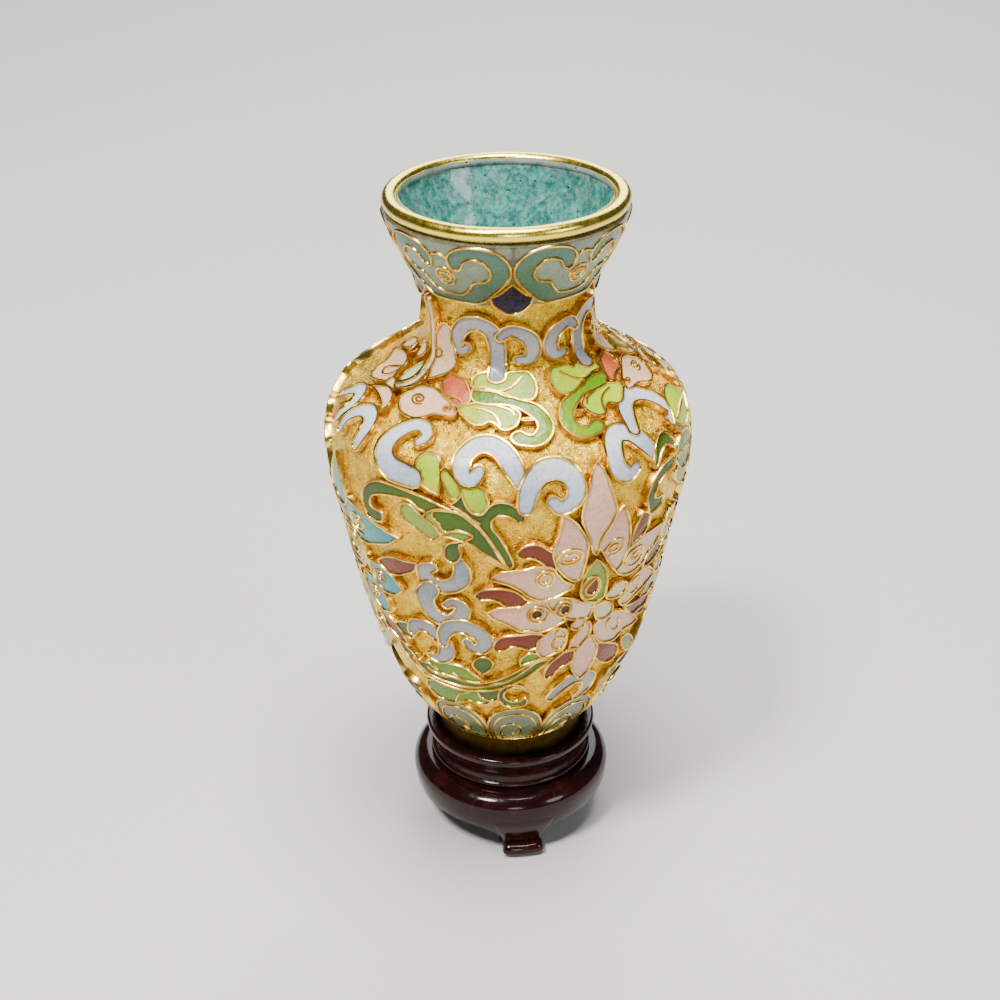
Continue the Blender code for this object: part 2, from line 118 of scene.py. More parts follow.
def on_body(degrees, run, proud):
    """World places over the body's ground, given millimetres along its outline and proud of it."""
    degrees, run, proud = np.broadcast_arrays(degrees, run, proud)
    height = np.interp(run, RUNS, HEIGHTS)
    slope = np.interp(height, HEIGHTS, SLOPES)
    out = proud / np.hypot(1.0, slope)
    radius = (np.interp(height, HEIGHTS, RADII) + out) * MM
    angle = np.radians(degrees)
    z = BODY_LOW.z + (height - out * slope) * MM
    return np.column_stack((radius * np.sin(angle), -radius * np.cos(angle), z))


# How deep in the ground all raised work starts, and how far apart a drawn line's points are, in mm.
ROOT = -0.15
LINE_SPACING = 0.28
# A curve's steps between two given points, an oval's points, and how far a closed line overlaps itself.
CURVE_STEPS = 12
OVAL_POINTS = 20
OVERLAP = 3


def spline(points, spacing):
    """Evenly spaced points on a smooth open line through the given ones."""
    points = np.asarray(points, float)
    ends = np.vstack((2 * points[0] - points[1], points, 2 * points[-1] - points[-2]))
    dense = [points[:1]]
    for a, b, c, d in zip(ends, ends[1:], ends[2:], ends[3:]):
        da, db, dc = (max(np.hypot(*(q - p)), 1e-6) ** 0.5 for p, q in ((a, b), (b, c), (c, d)))
        start = db * ((b - a) / da - (c - a) / (da + db) + (c - b) / db)
        end = db * ((c - b) / db - (d - b) / (db + dc) + (d - c) / dc)
        t = np.linspace(0.0, 1.0, CURVE_STEPS + 1)[1:, None]
        dense.append((2 * t ** 3 - 3 * t ** 2 + 1) * b + (t ** 3 - 2 * t ** 2 + t) * start
                     + (3 * t ** 2 - 2 * t ** 3) * c + (t ** 3 - t ** 2) * end)
    dense = np.vstack(dense)
    far = np.concatenate(([0.0], np.cumsum(np.hypot(*np.diff(dense, axis=0).T))))
    count = max(int(round(far[-1] / spacing)), 3)
    at = np.linspace(0.0, far[-1], count + 1)
    return np.column_stack((np.interp(at, far, dense[:, 0]), np.interp(at, far, dense[:, 1])))


def closed_spline(points, corners, spacing):
    """Evenly spaced points on a smooth closed line, broken only at its corners.

    A line without corners is drawn past its own start at half the spacing, and one whole turn is kept.
    """
    points = np.asarray(points, float)
    if not corners:
        wrapped = np.vstack((points[-OVERLAP:], points, points[:OVERLAP]))
        line = spline(wrapped, spacing * 0.5)
        start = np.argmin(np.hypot(*(line[:len(line) // 2] - points[0]).T))
        tail = line[len(line) // 2:]
        stop = len(line) // 2 + np.argmin(np.hypot(*(tail - points[0]).T))
        return line[start:stop:2]
    pieces = []
    for first, last in zip(corners, corners[1:] + [corners[0] + len(points)]):
        part = points[np.arange(first, last + 1) % len(points)]
        pieces.append(spline(part, spacing)[:-1])
    return np.vstack(pieces)


class Plane:
    """A flat map of one place on the body, in true millimetres round and along the outline."""

    def __init__(self, degrees, run):
        self.degrees = degrees
        self.scale = float(degree_length(run))

    def flat(self, places):
        """The map's points, in mm, of (degrees, run) places."""
        places = np.asarray(places, float)
        return np.column_stack(((places[:, 0] - self.degrees) * self.scale, places[:, 1]))

    def round(self, points):
        """The (degrees, run) places of the map's points."""
        return np.column_stack((points[:, 0] / self.scale + self.degrees, points[:, 1]))


def plane_of(places):
    """The map round the middle of some places."""
    return Plane(places[:, 0].mean(), places[:, 1].mean())


def drawn(points):
    """Drawn (degrees, height) points as (degrees, run) places, and the indexes of the corners."""
    places = np.array([(p[0], run_at(p[1])) for p in points])
    return places, [i for i, p in enumerate(points) if len(p) == 3]


def loop_outline(points):
    """The outline of a cell drawn by points round its edge. A third value marks a corner."""
    places, corners = drawn(points)
    plane = plane_of(places)
    return plane.round(closed_spline(plane.flat(places), corners, LINE_SPACING))


# A band's rounded end: how far it turns to each side in degrees, and its points. Then how many points to
# each side the band's width is eased over.
BAND_END_TURN = 75.0
BAND_END_POINTS = 6
WIDTH_EASE = 2


def band_outline(points, widths):
    """The outline of a band of varying width along a drawn line, with rounded ends."""
    places, _ = drawn(points)
    plane = plane_of(places)
    middle = spline(plane.flat(places), LINE_SPACING)
    ahead = np.gradient(middle, axis=0)
    ahead /= np.hypot(*ahead.T)[:, None]
    side = np.column_stack((-ahead[:, 1], ahead[:, 0]))
    along = np.linspace(0.0, 1.0, len(middle))
    half = 0.5 * np.interp(along, np.linspace(0.0, 1.0, len(widths)), widths)
    window = 2 * WIDTH_EASE + 1
    half = np.convolve(np.pad(half, WIDTH_EASE, "edge"), np.ones(window) / window, "valid")[:, None]
    turns = np.radians(np.linspace(BAND_END_TURN, -BAND_END_TURN, BAND_END_POINTS))[:, None]
    tip = middle[-1] + half[-1] * (side[-1] * np.sin(turns) + ahead[-1] * np.cos(turns))
    heel = middle[0] - half[0] * (side[0] * np.sin(turns) + ahead[0] * np.cos(turns))
    return plane.round(np.vstack((middle + side * half, tip, (middle - side * half)[::-1], heel)))


def ring_line(centre, size):
    """A closed oval of places, from half its width in degrees and half its height in mm."""
    angles = np.linspace(0.0, 2 * math.pi, OVAL_POINTS, endpoint=False)
    return np.column_stack((centre[0] + size[0] * np.cos(angles),
                            run_at(centre[1]) + size[1] * np.sin(angles)))


def inside(points, outline):
    """Which points lie inside a closed outline."""
    x, y = points[:, 0:1], points[:, 1:2]
    ax, ay = outline[:, 0], outline[:, 1]
    bx, by = np.roll(ax, -1), np.roll(ay, -1)
    spans = (ay > y) != (by > y)
    rise = np.where(by == ay, 1e-12, by - ay)
    crossing = ax + (y - ay) * (bx - ax) / rise
    return (np.count_nonzero(spans & (x < crossing), axis=1) % 2).astype(bool)


def edge_distance(points, outline):
    """How far each point is from a closed outline."""
    a, b = outline, np.roll(outline, -1, axis=0)
    along = b - a
    length = np.maximum((along ** 2).sum(1), 1e-12)
    out = points[:, None] - a[None]
    t = np.clip((out * along).sum(2) / length, 0.0, 1.0)
    gap = out - t[..., None] * along
    return np.sqrt((gap ** 2).sum(2)).min(1)


class Cell:
    """One enamel cell, with the wire round it where it is edged, and the wires inside it."""

    def __init__(self, group, colour, outline, edged=True, lines=()):
        self.group = group
        self.colour = colour
        self.outline = outline
        self.edged = edged
        self.lines = list(lines)

    def moved(self, turned_by, mirror_at):
        """A copy of the cell, mirrored at an angle where one is given, then turned round the body."""
        def move(places):
            places = places.copy()
            if mirror_at is not None:
                places[:, 0] = 2 * mirror_at - places[:, 0]
            places[:, 0] += turned_by
            return places
        outline = move(self.outline)
        if mirror_at is not None:
            outline = outline[::-1]
        lines = [(move(line), closed, width) for line, closed, width in self.lines]
        return Cell(self.group, self.colour, outline, self.edged, lines)


def loop(colour, points, *lines, edged=True):
    """A drawn cell with points round its edge."""
    return ("loop", colour, points, lines, edged)


def band(colour, points, widths, *lines):
    """A drawn cell along a line, with its widths in mm."""
    return ("band", colour, points, lines, widths)


def disc(colour, centre, size, *lines):
    """A drawn oval cell, half its width in degrees and half its height in mm."""
    return ("disc", colour, centre, lines, size)


def vein(*points):
    """A drawn wire along points."""
    return ("vein", points)


def ring(centre, size):
    """A drawn oval wire."""
    return ("ring", centre, size)


def curl(centre, size, turns):
    """A drawn spiral wire."""
    return ("curl", centre, size, turns)


# The widths of the wire round a cell and of those inside it, as shares of the full width.
EDGE_WIRE = 1.0
RING_WIRE = 1.1
CURL_WIRE = 0.95
VEIN_WIRE = 1.0
# A curl's points in each turn, the angle it starts at in radians, and the share of its size it starts at.
CURL_POINTS = 16
CURL_START = 0.6
CURL_HEART = 0.12


def line_places(line):
    """A wire inside a cell, as (places, closed, share of the full width)."""
    if line[0] == "ring":
        return ring_line(line[1], line[2]), True, RING_WIRE
    if line[0] == "curl":
        _, centre, size, turns = line
        t = np.linspace(0.0, 1.0, int(CURL_POINTS * turns))
        angle = 2 * math.pi * turns * t + CURL_START
        reach = CURL_HEART + (1.0 - CURL_HEART) * t
        places = np.column_stack((centre[0] + size[0] * reach * np.cos(angle),
                                  run_at(centre[1]) + size[1] * reach * np.sin(angle)))
        return places, False, CURL_WIRE
    places, _ = drawn(line[1])
    plane = plane_of(places)
    return plane.round(spline(plane.flat(places), LINE_SPACING)), False, VEIN_WIRE


def cells_of(group, entries):
    """Builds the cells of one group from its drawn entries."""
    made = []
    for kind, colour, shape, lines, extra in entries:
        if kind == "loop":
            outline = loop_outline(shape)
        elif kind == "band":
            outline = band_outline(shape, extra)
        else:
            outline = ring_line(shape, extra)
        edged = extra if kind == "loop" else True
        made.append(Cell(group, colour, outline, edged, [line_places(line) for line in lines]))
    return made


# The drawn pattern. Each entry is a cell's colour, its points, a band's widths in mm along it, and
# the wires inside it. A third value in a loop's point marks a corner.
LOTUS_SEPALS = (
    loop("brick", ((2, 44.8), (2.9, 45.5), (4.7, 45.9), (7.3, 46), (9.9, 45.6), (11.9, 45), (13.5,
         44.5), (14.3, 42.3, 1), (11.1, 42.9), (9, 43.7), (6.7, 44.2), (4.1, 44.2))),
    loop("brick", ((-11.6, 38.9), (-9.7, 39.7), (-6.5, 40), (-2.5, 40.1), (1.1, 39.8), (3.5, 39.2),
         (5.1, 38.6), (7.6, 38.2), (4.8, 37.9), (3.1, 37.5), (0.7, 37.4), (-1.8, 37.7), (-3.8, 38.3),
         (-7, 38.5), (-9.9, 38.4))),
    loop("brick", ((-6.1, 31.5), (-5.6, 32.5), (-3.8, 33.2), (-0.3, 33.5), (3.8, 33.6), (7.5, 33.7),
         (10.9, 33.5, 1), (12.8, 32.7), (10.4, 31.6), (7.8, 31.3), (6.1, 31.3), (3.5, 31.7), (0.1,
         31.8), (-2.5, 31.3), (-4.7, 31.1))),
    loop("brick", ((13.9, 26.5), (13.1, 27.5), (14.9, 28.8), (17.7, 29.6), (20.4, 30.2), (24.2, 30.2,
         1), (24.8, 29), (21.7, 28.1), (18.4, 27.6), (16.7, 26.7))),
    loop("brick", ((34.6, 30.1, 1), (40.3, 29.3), (47.2, 27.9), (49.4, 26.2), (46.1, 25.8), (42.2, 26),
         (37, 27.1), (34.3, 28.5))),
    loop("brick", ((47.7, 45.9, 1), (44.3, 46.5), (42.4, 45.7), (41.4, 44.5), (41.1, 43.6), (42.4, 42.2,
         1), (45, 42.7), (47, 43.6), (48.3, 44.6))),
    loop("brick", ((64.5, 39.8, 1), (57.3, 40.5), (54.2, 39.9), (51.7, 39.1), (51.2, 38.2, 1), (56.3,
         38), (59.7, 38.2), (63, 38.8))),
    loop("brick", ((66.6, 32.2, 1), (57.5, 33.2), (51.4, 33.4), (45.1, 33.7), (46.6, 33.2), (52.1,
         31.6), (56.6, 31.6), (62.2, 31.3))),
    loop("leaf_mid", ((49.4, 28.3), (50.3, 28.8), (56.1, 27.9), (63.1, 25.8), (64.7, 24.4), (54.2,
         26.2))),
)
LOTUS = (
    loop("lotus", ((29.3, 25.1, 1), (25.9, 26.5), (24.1, 27.8), (24.6, 29), (25.4, 30.2), (27.1, 31),
         (28.9, 31.8), (30.6, 31.8), (33, 30.6), (34.9, 29.6), (35.2, 28.5), (34.8, 27.5), (33.8, 26.5),
         (32.1, 25.6))),
    loop("lotus", ((9.2, 31.2, 1), (10, 32.5), (12, 33.2), (14.3, 33.8), (17.7, 34), (20.3, 32.7),
         (20.3, 31.5), (19.2, 30.7), (16.1, 30.2), (13.5, 29.9), (11.1, 30.1)), ring((18.4, 33), (2.1,
         0.82)), ring((17.6, 31.7), (2.3, 0.93))),
    loop("lotus", ((59.2, 29.6, 1), (48.5, 32.4), (43.1, 33.5), (39.2, 34), (36.9, 33.7), (34, 33.6),
         (31.9, 33.3), (31.4, 32.6), (32.8, 31.3), (35.6, 30.1), (40.2, 29.4), (43.8, 29.3), (46.2,
         29.7), (48.7, 30), (54.3, 29.7)), vein((43.2, 32.4), (44.3, 31.3), (42.1, 30.9), (38.8, 31.6),
         (37.3, 32.7), (38.7, 33.1))),
    loop("cream", ((29.9, 35.8), (33.1, 36.1), (37.5, 35.3), (38.8, 34.3), (36.9, 33.6), (33.4, 33.6),
         (31.5, 34), (30.4, 34.9))),
    loop("lotus", ((64.1, 35.4, 1), (57.9, 35.1), (53.8, 34.8), (50.1, 34.6), (46.7, 34.2), (43.1,
         34.3), (41.3, 35.3), (43.3, 35.9), (44.8, 36.8), (46.5, 37.6), (49.5, 37.9), (54, 37.8)),
         ring((48.5, 36.2), (3.4, 1.08))),
    loop("cream", ((34.5, 36.5), (35.2, 37.2), (37.6, 37.9), (40.4, 37.9), (43.6, 37.3), (43.7, 36.4),
         (41, 35.9), (37.4, 36))),
    loop("lotus", ((57.2, 43.1, 1), (51, 43.2), (46.7, 43.2), (44, 42.8), (41.2, 42.5), (39.4, 41.8),
         (38.3, 41), (37.7, 40.2), (36.7, 39.8), (40.6, 38.8), (44.7, 38.5), (48.2, 38.7), (50.9, 39.1),
         (53, 40), (56.3, 40.5), (59, 41.5)), ring((44.9, 40.7), (4.4, 1.24)), ring((45.3, 40.8), (1.8,
         0.46))),
    loop("lotus", ((35.6, 48.4, 1), (33, 47.7), (30.9, 46.9), (29.2, 46.1), (28, 45.3), (28.2, 44.2),
         (29.7, 43.3), (31.8, 42.1), (34.6, 40.7), (36.7, 39.8, 1), (38.9, 40.5), (40, 41.5), (40.5,
         42.7), (40.1, 44.1), (39.1, 45.5), (37.6, 47)), vein((30.4, 43.3), (31.6, 44), (34, 44.5),
         (37.1, 44.1), (37.4, 43.1), (35.3, 42.5), (32.4, 42.5)), ring((34, 43.4), (1.7, 0.46))),
    loop("lotus", ((27.3, 53.5, 1), (25.4, 52.9), (24.3, 52), (23.4, 51.2), (22.5, 50.4), (21.8, 49.7),
         (21.2, 48.8), (21.5, 47.9), (22.4, 47), (23.8, 45.9), (25, 44.9), (25.8, 43.9), (27.3, 43.2,
         1), (28.3, 43.9), (28.3, 44.9), (29.5, 45.8), (31.1, 46.5), (32.6, 47.5), (33.2, 48.3), (32.5,
         49.2), (31.5, 50.2), (30.7, 51.1), (30, 51.9), (29.2, 52.7))),
    loop("lotus", ((15.4, 49.1, 1), (17.5, 48.6), (19.7, 47.8), (21.2, 47), (23.1, 45.9), (24.2, 44.8),
         (24.1, 43.7), (24.1, 42.7), (23.7, 41.7), (22.8, 40.3), (20.6, 40.3), (17.6, 41.1), (15.2,
         42.2), (13.5, 43.5), (12.9, 44.7), (13.4, 45.8), (14.3, 46.8), (14.8, 47.8)), ring((18.4,
         43.7), (4.2, 1.03)), ring((18.6, 43.6), (2.4, 0.52))),
    loop("lotus", ((-6.3, 41.3, 1), (-3.7, 42.3), (0.3, 42.6), (4.5, 42.7), (7.6, 43), (10.7, 43),
         (13.3, 42.5), (15.1, 41.5), (17.7, 40.4), (20.8, 39.7), (19, 39.1), (16, 38.6), (13, 38.3),
         (9.7, 38.3), (6.1, 38.9), (2.9, 39.9), (-0.1, 40.6), (-3.2, 41)), ring((11.1, 41.2), (2.9,
         1.13)), ring((11, 41.2), (1.5, 0.62))),
    loop("lotus", ((-8, 36.8, 1), (-4.2, 37.4), (0.1, 37.5), (3.3, 37.6), (5.6, 38.1), (9.5, 38.2),
         (13.1, 37.9), (15.4, 36.8), (16.8, 35.8), (19.2, 35), (16.7, 34.5), (13.8, 34), (10, 33.8),
         (6.9, 34.1), (3.6, 34.1), (0.7, 34.7), (-2.5, 35.4), (-5.7, 35.9)), ring((9.3, 36.3), (3.4,
         1.18))),
    # A dark disc of painted shade in the hollow inside the ring.
    disc("grime", (8.8, 36.4), (2, 0.67)),
    loop("lotus", ((21.9, 30.5, 1), (22.9, 31.6), (24.5, 32.7), (26.2, 33.4), (28.3, 34), (29.9, 33.1),
         (29.8, 31.8), (28.1, 31.1), (25.9, 30.4))),
    loop("cream", ((11.9, 38.2), (15, 38.4), (20, 38), (24.7, 37), (29.5, 36.5), (29.3, 35.4), (27.6,
         34.4), (23.8, 34.6), (20, 35.1), (17.3, 35.7), (13.7, 36.8))),
    disc("blush", (17.9, 36.6), (2.9, 1.13)),
    # A dark disc of painted shade in the hollow inside the ring.
    disc("grime", (18.6, 36.5), (1.8, 0.67)),
    disc("blush", (24.4, 33.9), (2.8, 0.77)),
    loop("sage", ((27.7, 42.6, 1), (25.9, 41.8), (24.4, 40.8), (23.6, 39.6), (23.6, 38.3), (24.9, 37.4),
         (28, 36.7), (31.4, 36.5), (33.4, 37), (33.9, 38), (33.7, 39.1), (32.1, 40.8), (30, 41.9)),
         ring((27.4, 38.7), (3.7, 1.54))),
    loop("brick", ((29.2, 40, 1), (26.7, 39.3), (25.4, 38.5), (26.1, 38), (28.3, 37.7), (30, 38), (30.3,
         38.9))),
)
SPRAYS = (
    loop("leaf_light", ((-29.3, 53.7), (-29.4, 53), (-28.8, 52.4), (-26.5, 51.7), (-24.1, 51.3), (-20.9,
         51, 1), (-20.5, 52.4), (-21.1, 53.5), (-22.1, 54), (-26.2, 54.2))),
    loop("leaf_light", ((-20.7, 52.9), (-19.5, 52.1), (-18.6, 51.5), (-16.9, 50.8), (-15, 50.8), (-13.8,
         51.2), (-14.1, 52), (-15.6, 52.5), (-17.9, 53.1), (-19.6, 53.4))),
    loop("leaf_light", ((-14.3, 52.1), (-14, 51.2), (-13.2, 50.3), (-11.5, 49.6), (-9.1, 49.4), (-6.9,
         50), (-6.2, 50.9), (-7.8, 52), (-10.9, 52.3))),
    loop("leaf_dark", ((-41.2, 46.1, 1), (-44.8, 45.8), (-47.5, 45.8), (-48.8, 46.9), (-49.8, 48),
         (-48.1, 49.3), (-45.1, 50.2), (-41.4, 50.7), (-36.3, 50.8), (-31.2, 50.7), (-26.4, 50.5),
         (-21.8, 50.1), (-16.7, 49.6), (-12.9, 49), (-15.3, 49.4), (-20.3, 49.5), (-24.1, 49), (-26.4,
         49), (-28.3, 49.4), (-31.1, 49.8), (-36.2, 49.7), (-42.3, 49.2), (-45, 48.6), (-45.8, 47.5),
         (-43.8, 47.3), (-41, 47.2))),
    loop("sage", ((-24.1, 49.1, 1), (-21.8, 49.5), (-18.5, 49.6), (-14.6, 49.5), (-11.2, 48.7), (-8.2,
         47.7), (-5.2, 46.1), (-2.9, 44.4), (-0.4, 42.8, 1), (-3.6, 43.4), (-7.5, 44.5), (-10.8, 45.6),
         (-13.6, 46.1), (-17.1, 46.4), (-20.5, 46.4), (-23.3, 45.7), (-25.9, 46.1), (-28.5, 46.6),
         (-31.2, 47.1), (-33.4, 47.7), (-34, 48.6), (-32.3, 49.3), (-29.9, 49.3), (-28, 48.8), (-26.1,
         48.4, 1)), vein((-21.5, 46), (-19.6, 46.9), (-17, 47.3), (-13.4, 47.4), (-9.9, 47)),
         vein((-26.1, 48.4), (-24.6, 48), (-22.1, 47.4), (-20.8, 46.6))),
    loop("leaf_dark", ((-22.6, 49.2), (-18.5, 49.5), (-14.6, 49.4), (-11.2, 48.6), (-8.2, 47.6), (-5.2,
         45.9), (-2.9, 44.2), (-0.8, 43, 1), (-3.6, 43.8), (-7.4, 44.8), (-10.8, 45.8), (-12.9, 46.3),
         (-10.6, 46.9), (-13.4, 47.3), (-16.9, 47.3), (-19.2, 47), (-20.9, 47.9), (-22.7, 48.5))),
    loop("leaf_dark", ((-13.9, 46.2), (-16.2, 46), (-18.4, 45.7), (-19.9, 44.7), (-20, 43.7), (-18.6,
         43.2), (-16.6, 43.4), (-14.9, 44.2), (-15, 45.1), (-15.1, 45.7), (-13.3, 45.8))),
    loop("leaf_dark", ((-13.8, 51.3, 1), (-12.2, 50.1), (-9.8, 49.5), (-7.7, 49.6), (-5.8, 50.4), (-3.3,
         50.8), (-0.3, 50.7), (2.1, 50.2), (4.1, 49.5), (4.1, 48.8), (2.4, 48.6), (1.3, 49.1), (-1.5,
         49.4), (-4, 49.3), (-5.2, 48.8), (-5.1, 48), (-3.1, 47), (-1.4, 45.8), (0.3, 44.4), (0.9,
         43.3), (-0.6, 42.9, 1), (-3.2, 44.9), (-6.5, 47), (-9.8, 48.5), (-12.9, 49.5), (-17.1, 50.2),
         (-15.7, 50.6)), vein((-14.6, 49.9), (-11.9, 49.1), (-8.5, 48.5))),
)
LOWER_LEAVES = (
    loop("leaf_mid", ((-35.1, 27.4, 1), (-32.3, 28.2), (-28.4, 28.6), (-25.2, 28.3), (-21.4, 28.3), (-17.7,
         28.1), (-15.2, 27.4), (-12.2, 26.7, 1), (-10.6, 26), (-16.7, 25.7), (-21.4, 26.1), (-26.4,
         26.2), (-31.5, 26.3))),
    loop("leaf_mid", ((-38.1, 24.2, 1), (-39.4, 22.8), (-37.2, 22.1), (-34.2, 21.4), (-29.8, 21.4), (-24.8,
         21.7), (-19.1, 22.5), (-15, 22.3), (-10.2, 22.5), (-7.5, 23.2), (-5, 23.7), (-3.7, 24.7),
         (-3.8, 25.8), (-14.2, 24.9), (-21.3, 24.6), (-27.4, 24.7), (-32.9, 24.7)), vein((-25.8, 21.8),
         (-24.3, 22.8), (-21.4, 23.7), (-17.5, 24.2))),
    loop("leaf_dark", ((-14.2, 24.8), (-9.3, 25.3), (-4.2, 25.9), (-3.1, 25.1), (-4, 24), (-7.5, 23.1),
         (-10, 23.2), (-12.9, 23.5), (-14, 24.3))),
    loop("leaf_dark", ((-40.9, 30.1, 1), (-43.5, 30.2), (-45.4, 29.9), (-45.4, 28.8), (-42.7, 28), (-39,
         27.1), (-34, 27.3), (-29.4, 26.3), (-23.4, 26.1), (-19.6, 25.9), (-13.8, 25.9), (-7.8, 26.4),
         (-3.2, 27.1), (1.6, 28), (5.9, 28.9), (10.1, 29.6), (15.7, 29.8, 1), (12.5, 28.7), (7.8, 27.5),
         (2.6, 26.4), (-2.9, 25.5), (-9.5, 24.8), (-14.3, 24.6), (-21.4, 24.3), (-28.3, 24.4), (-34.7,
         24.7), (-38.2, 25.1), (-42.3, 26.1), (-46.1, 27), (-49.2, 28.4), (-52.7, 29.6), (-50.4, 30.7),
         (-44.7, 32.1), (-40, 32.5), (-37.9, 31.8), (-38.6, 30.7)), vein((-42.3, 27.2), (-38.6, 26),
         (-34, 25.2), (-27.1, 25), (-21, 24.9), (-14, 25.2), (-7.4, 25.9), (-2.8, 26.3), (1.6, 27.2),
         (5.9, 28.3), (10.1, 29.4), (14.4, 29.5)), vein((-35.8, 26.5), (-31.7, 26), (-26.2, 26)),
         vein((-23.9, 26.9), (-21.3, 26.3), (-17.1, 25.9), (-12.4, 26))),
    loop("leaf_dark", ((-3.8, 25.3), (-5.4, 23.7), (-3.9, 22.6), (0.3, 22), (4.9, 22.2), (7.3, 22.7),
         (5.9, 23.6), (3.3, 23.1), (-0.2, 23.1), (-3, 23.9), (-1.5, 25.1), (1.7, 25.5), (5.8, 25.5), (3,
         25.9), (-1, 25.8))),
    loop("leaf_dark", ((-11.6, 27.3, 1), (-13, 27.9), (-14.4, 28.5), (-14.1, 29.3), (-12.1, 30), (-8.6,
         30.1), (-6.8, 29.5), (-7.4, 28.5), (-10, 27.7))),
    loop("leaf_mid", ((3.7, 29, 1), (3.6, 29.8), (5.1, 30.5), (7.8, 30.8), (11.4, 30.3), (10.5, 29.8),
         (7.1, 29.3))),
)
BELLY_SCROLLS = (
    band("grey_scroll", ((-16.2, 43.8), (-15.0, 42.2), (-16.2, 40.7), (-20, 39.8), (-24.6, 39.6),
                         (-28, 40.3), (-27.8, 41.5), (-25.2, 42.0)),
         (1.1, 1.71, 1.95, 1.83, 1.83, 1.95, 1.83, 1.22)),
    band("grey_scroll", ((-27, 38.9), (-29.6, 37.6), (-28.8, 35.9), (-25.2, 34.9), (-20.4, 34.9),
                         (-17, 35.9), (-16.4, 37.1), (-19, 37.6), (-22, 37.0)),
         (1.95, 2.2, 2.07, 1.95, 1.83, 1.83, 1.71, 1.34, 0.73)),
    band("grey_scroll", ((-39, 31.5), (-36, 32.8), (-31.5, 33.0), (-27, 32.2), (-24.4, 30.7),
                         (-25.6, 29.3), (-29, 28.6), (-31.8, 28.7)),
         (1.1, 1.59, 1.83, 1.95, 1.95, 1.83, 1.46, 0.98)),
    band("grey_scroll", ((-25.4, 31.2), (-24.4, 32.7), (-21, 34.0), (-16, 34.3), (-11.4, 33.6),
                         (-9, 32.4), (-11, 31.3), (-14.4, 31.4), (-15.6, 32.2)),
         (0.98, 1.46, 1.71, 1.95, 2.07, 1.95, 1.71, 1.34, 0.98)),
)
LOW_SCROLLS = (
    band("grey_scroll", ((17.4, 23.0), (22.0, 24.6), (28.0, 25.4), (34.0, 24.9), (35.6, 23.3), (31.6, 21.9)),
         (1.1, 1.5, 1.7, 1.7, 1.6, 1.1)),
    band("grey_scroll", ((47.0, 20.6), (48.8, 22.8), (54.0, 24.0), (61.0, 24.6), (68.0, 25.4), (76.0, 26.8),
                         (80.0, 28.4), (77.0, 29.6)), (1.2, 1.5, 1.7, 1.7, 1.7, 1.7, 1.5, 1.1)),
)
SIDE_FLOWER_HALF = (
    loop("turquoise", ((-66.4, 43.4), (-66.2, 45.2), (-63, 46.3), (-57, 46.2), (-49, 45.6), (-42, 45.1),
                       (-36, 44.7, 1), (-40, 43.5), (-47, 42.4), (-54, 41.5), (-62, 41.6)),
         curl((-55.5, 43.9), (5.4, 1.5), 1.7)),
    loop("brick", ((-49, 39.7), (-45, 40.9), (-40, 41.6), (-36, 41.7), (-30.6, 42.0, 1), (-32, 40.8),
                   (-35.5, 40.0), (-40, 39.2), (-45, 39.0))),
    loop("turquoise", ((-56, 38.7), (-50, 39.2), (-43, 38.6), (-39, 37.2, 1), (-44, 35.9), (-52, 35.9)),
         curl((-50, 37.5), (3.8, 1.0), 1.5)),
    loop("turquoise", ((-62, 36.3), (-55, 36.5), (-50, 34.9), (-48.6, 32.9, 1), (-54, 32.2), (-59, 32.8),
                       (-63, 34.3)),
         curl((-56.5, 34.4), (3.6, 1.1), 1.5)),
    loop("brick", ((-58, 31.6), (-52, 31.8), (-46, 30.6), (-43, 28.8, 1), (-49, 29.0), (-55, 30.0))),
)
SIDE_FLOWER_MIDDLE = (
    loop("turquoise", ((-66, 50.6, 1), (-62.5, 48.6), (-60.2, 46.8), (-61.6, 45.2), (-66, 44.6),
                       (-70.4, 45.2), (-71.8, 46.8), (-69.5, 48.6))),
    loop("turquoise", ((-66, 28.2, 1), (-69.5, 30.4), (-71.5, 32.6), (-69.4, 34.6), (-66, 35.4),
                       (-62.6, 34.6), (-60.5, 32.6), (-62.5, 30.4))),
    disc("cream", (-66, 39.7), (9.5, 3.1), ring((-66, 39.7), (7.2, 2.3))),
    disc("sage", (-66, 39.7), (4.6, 1.4)),
)
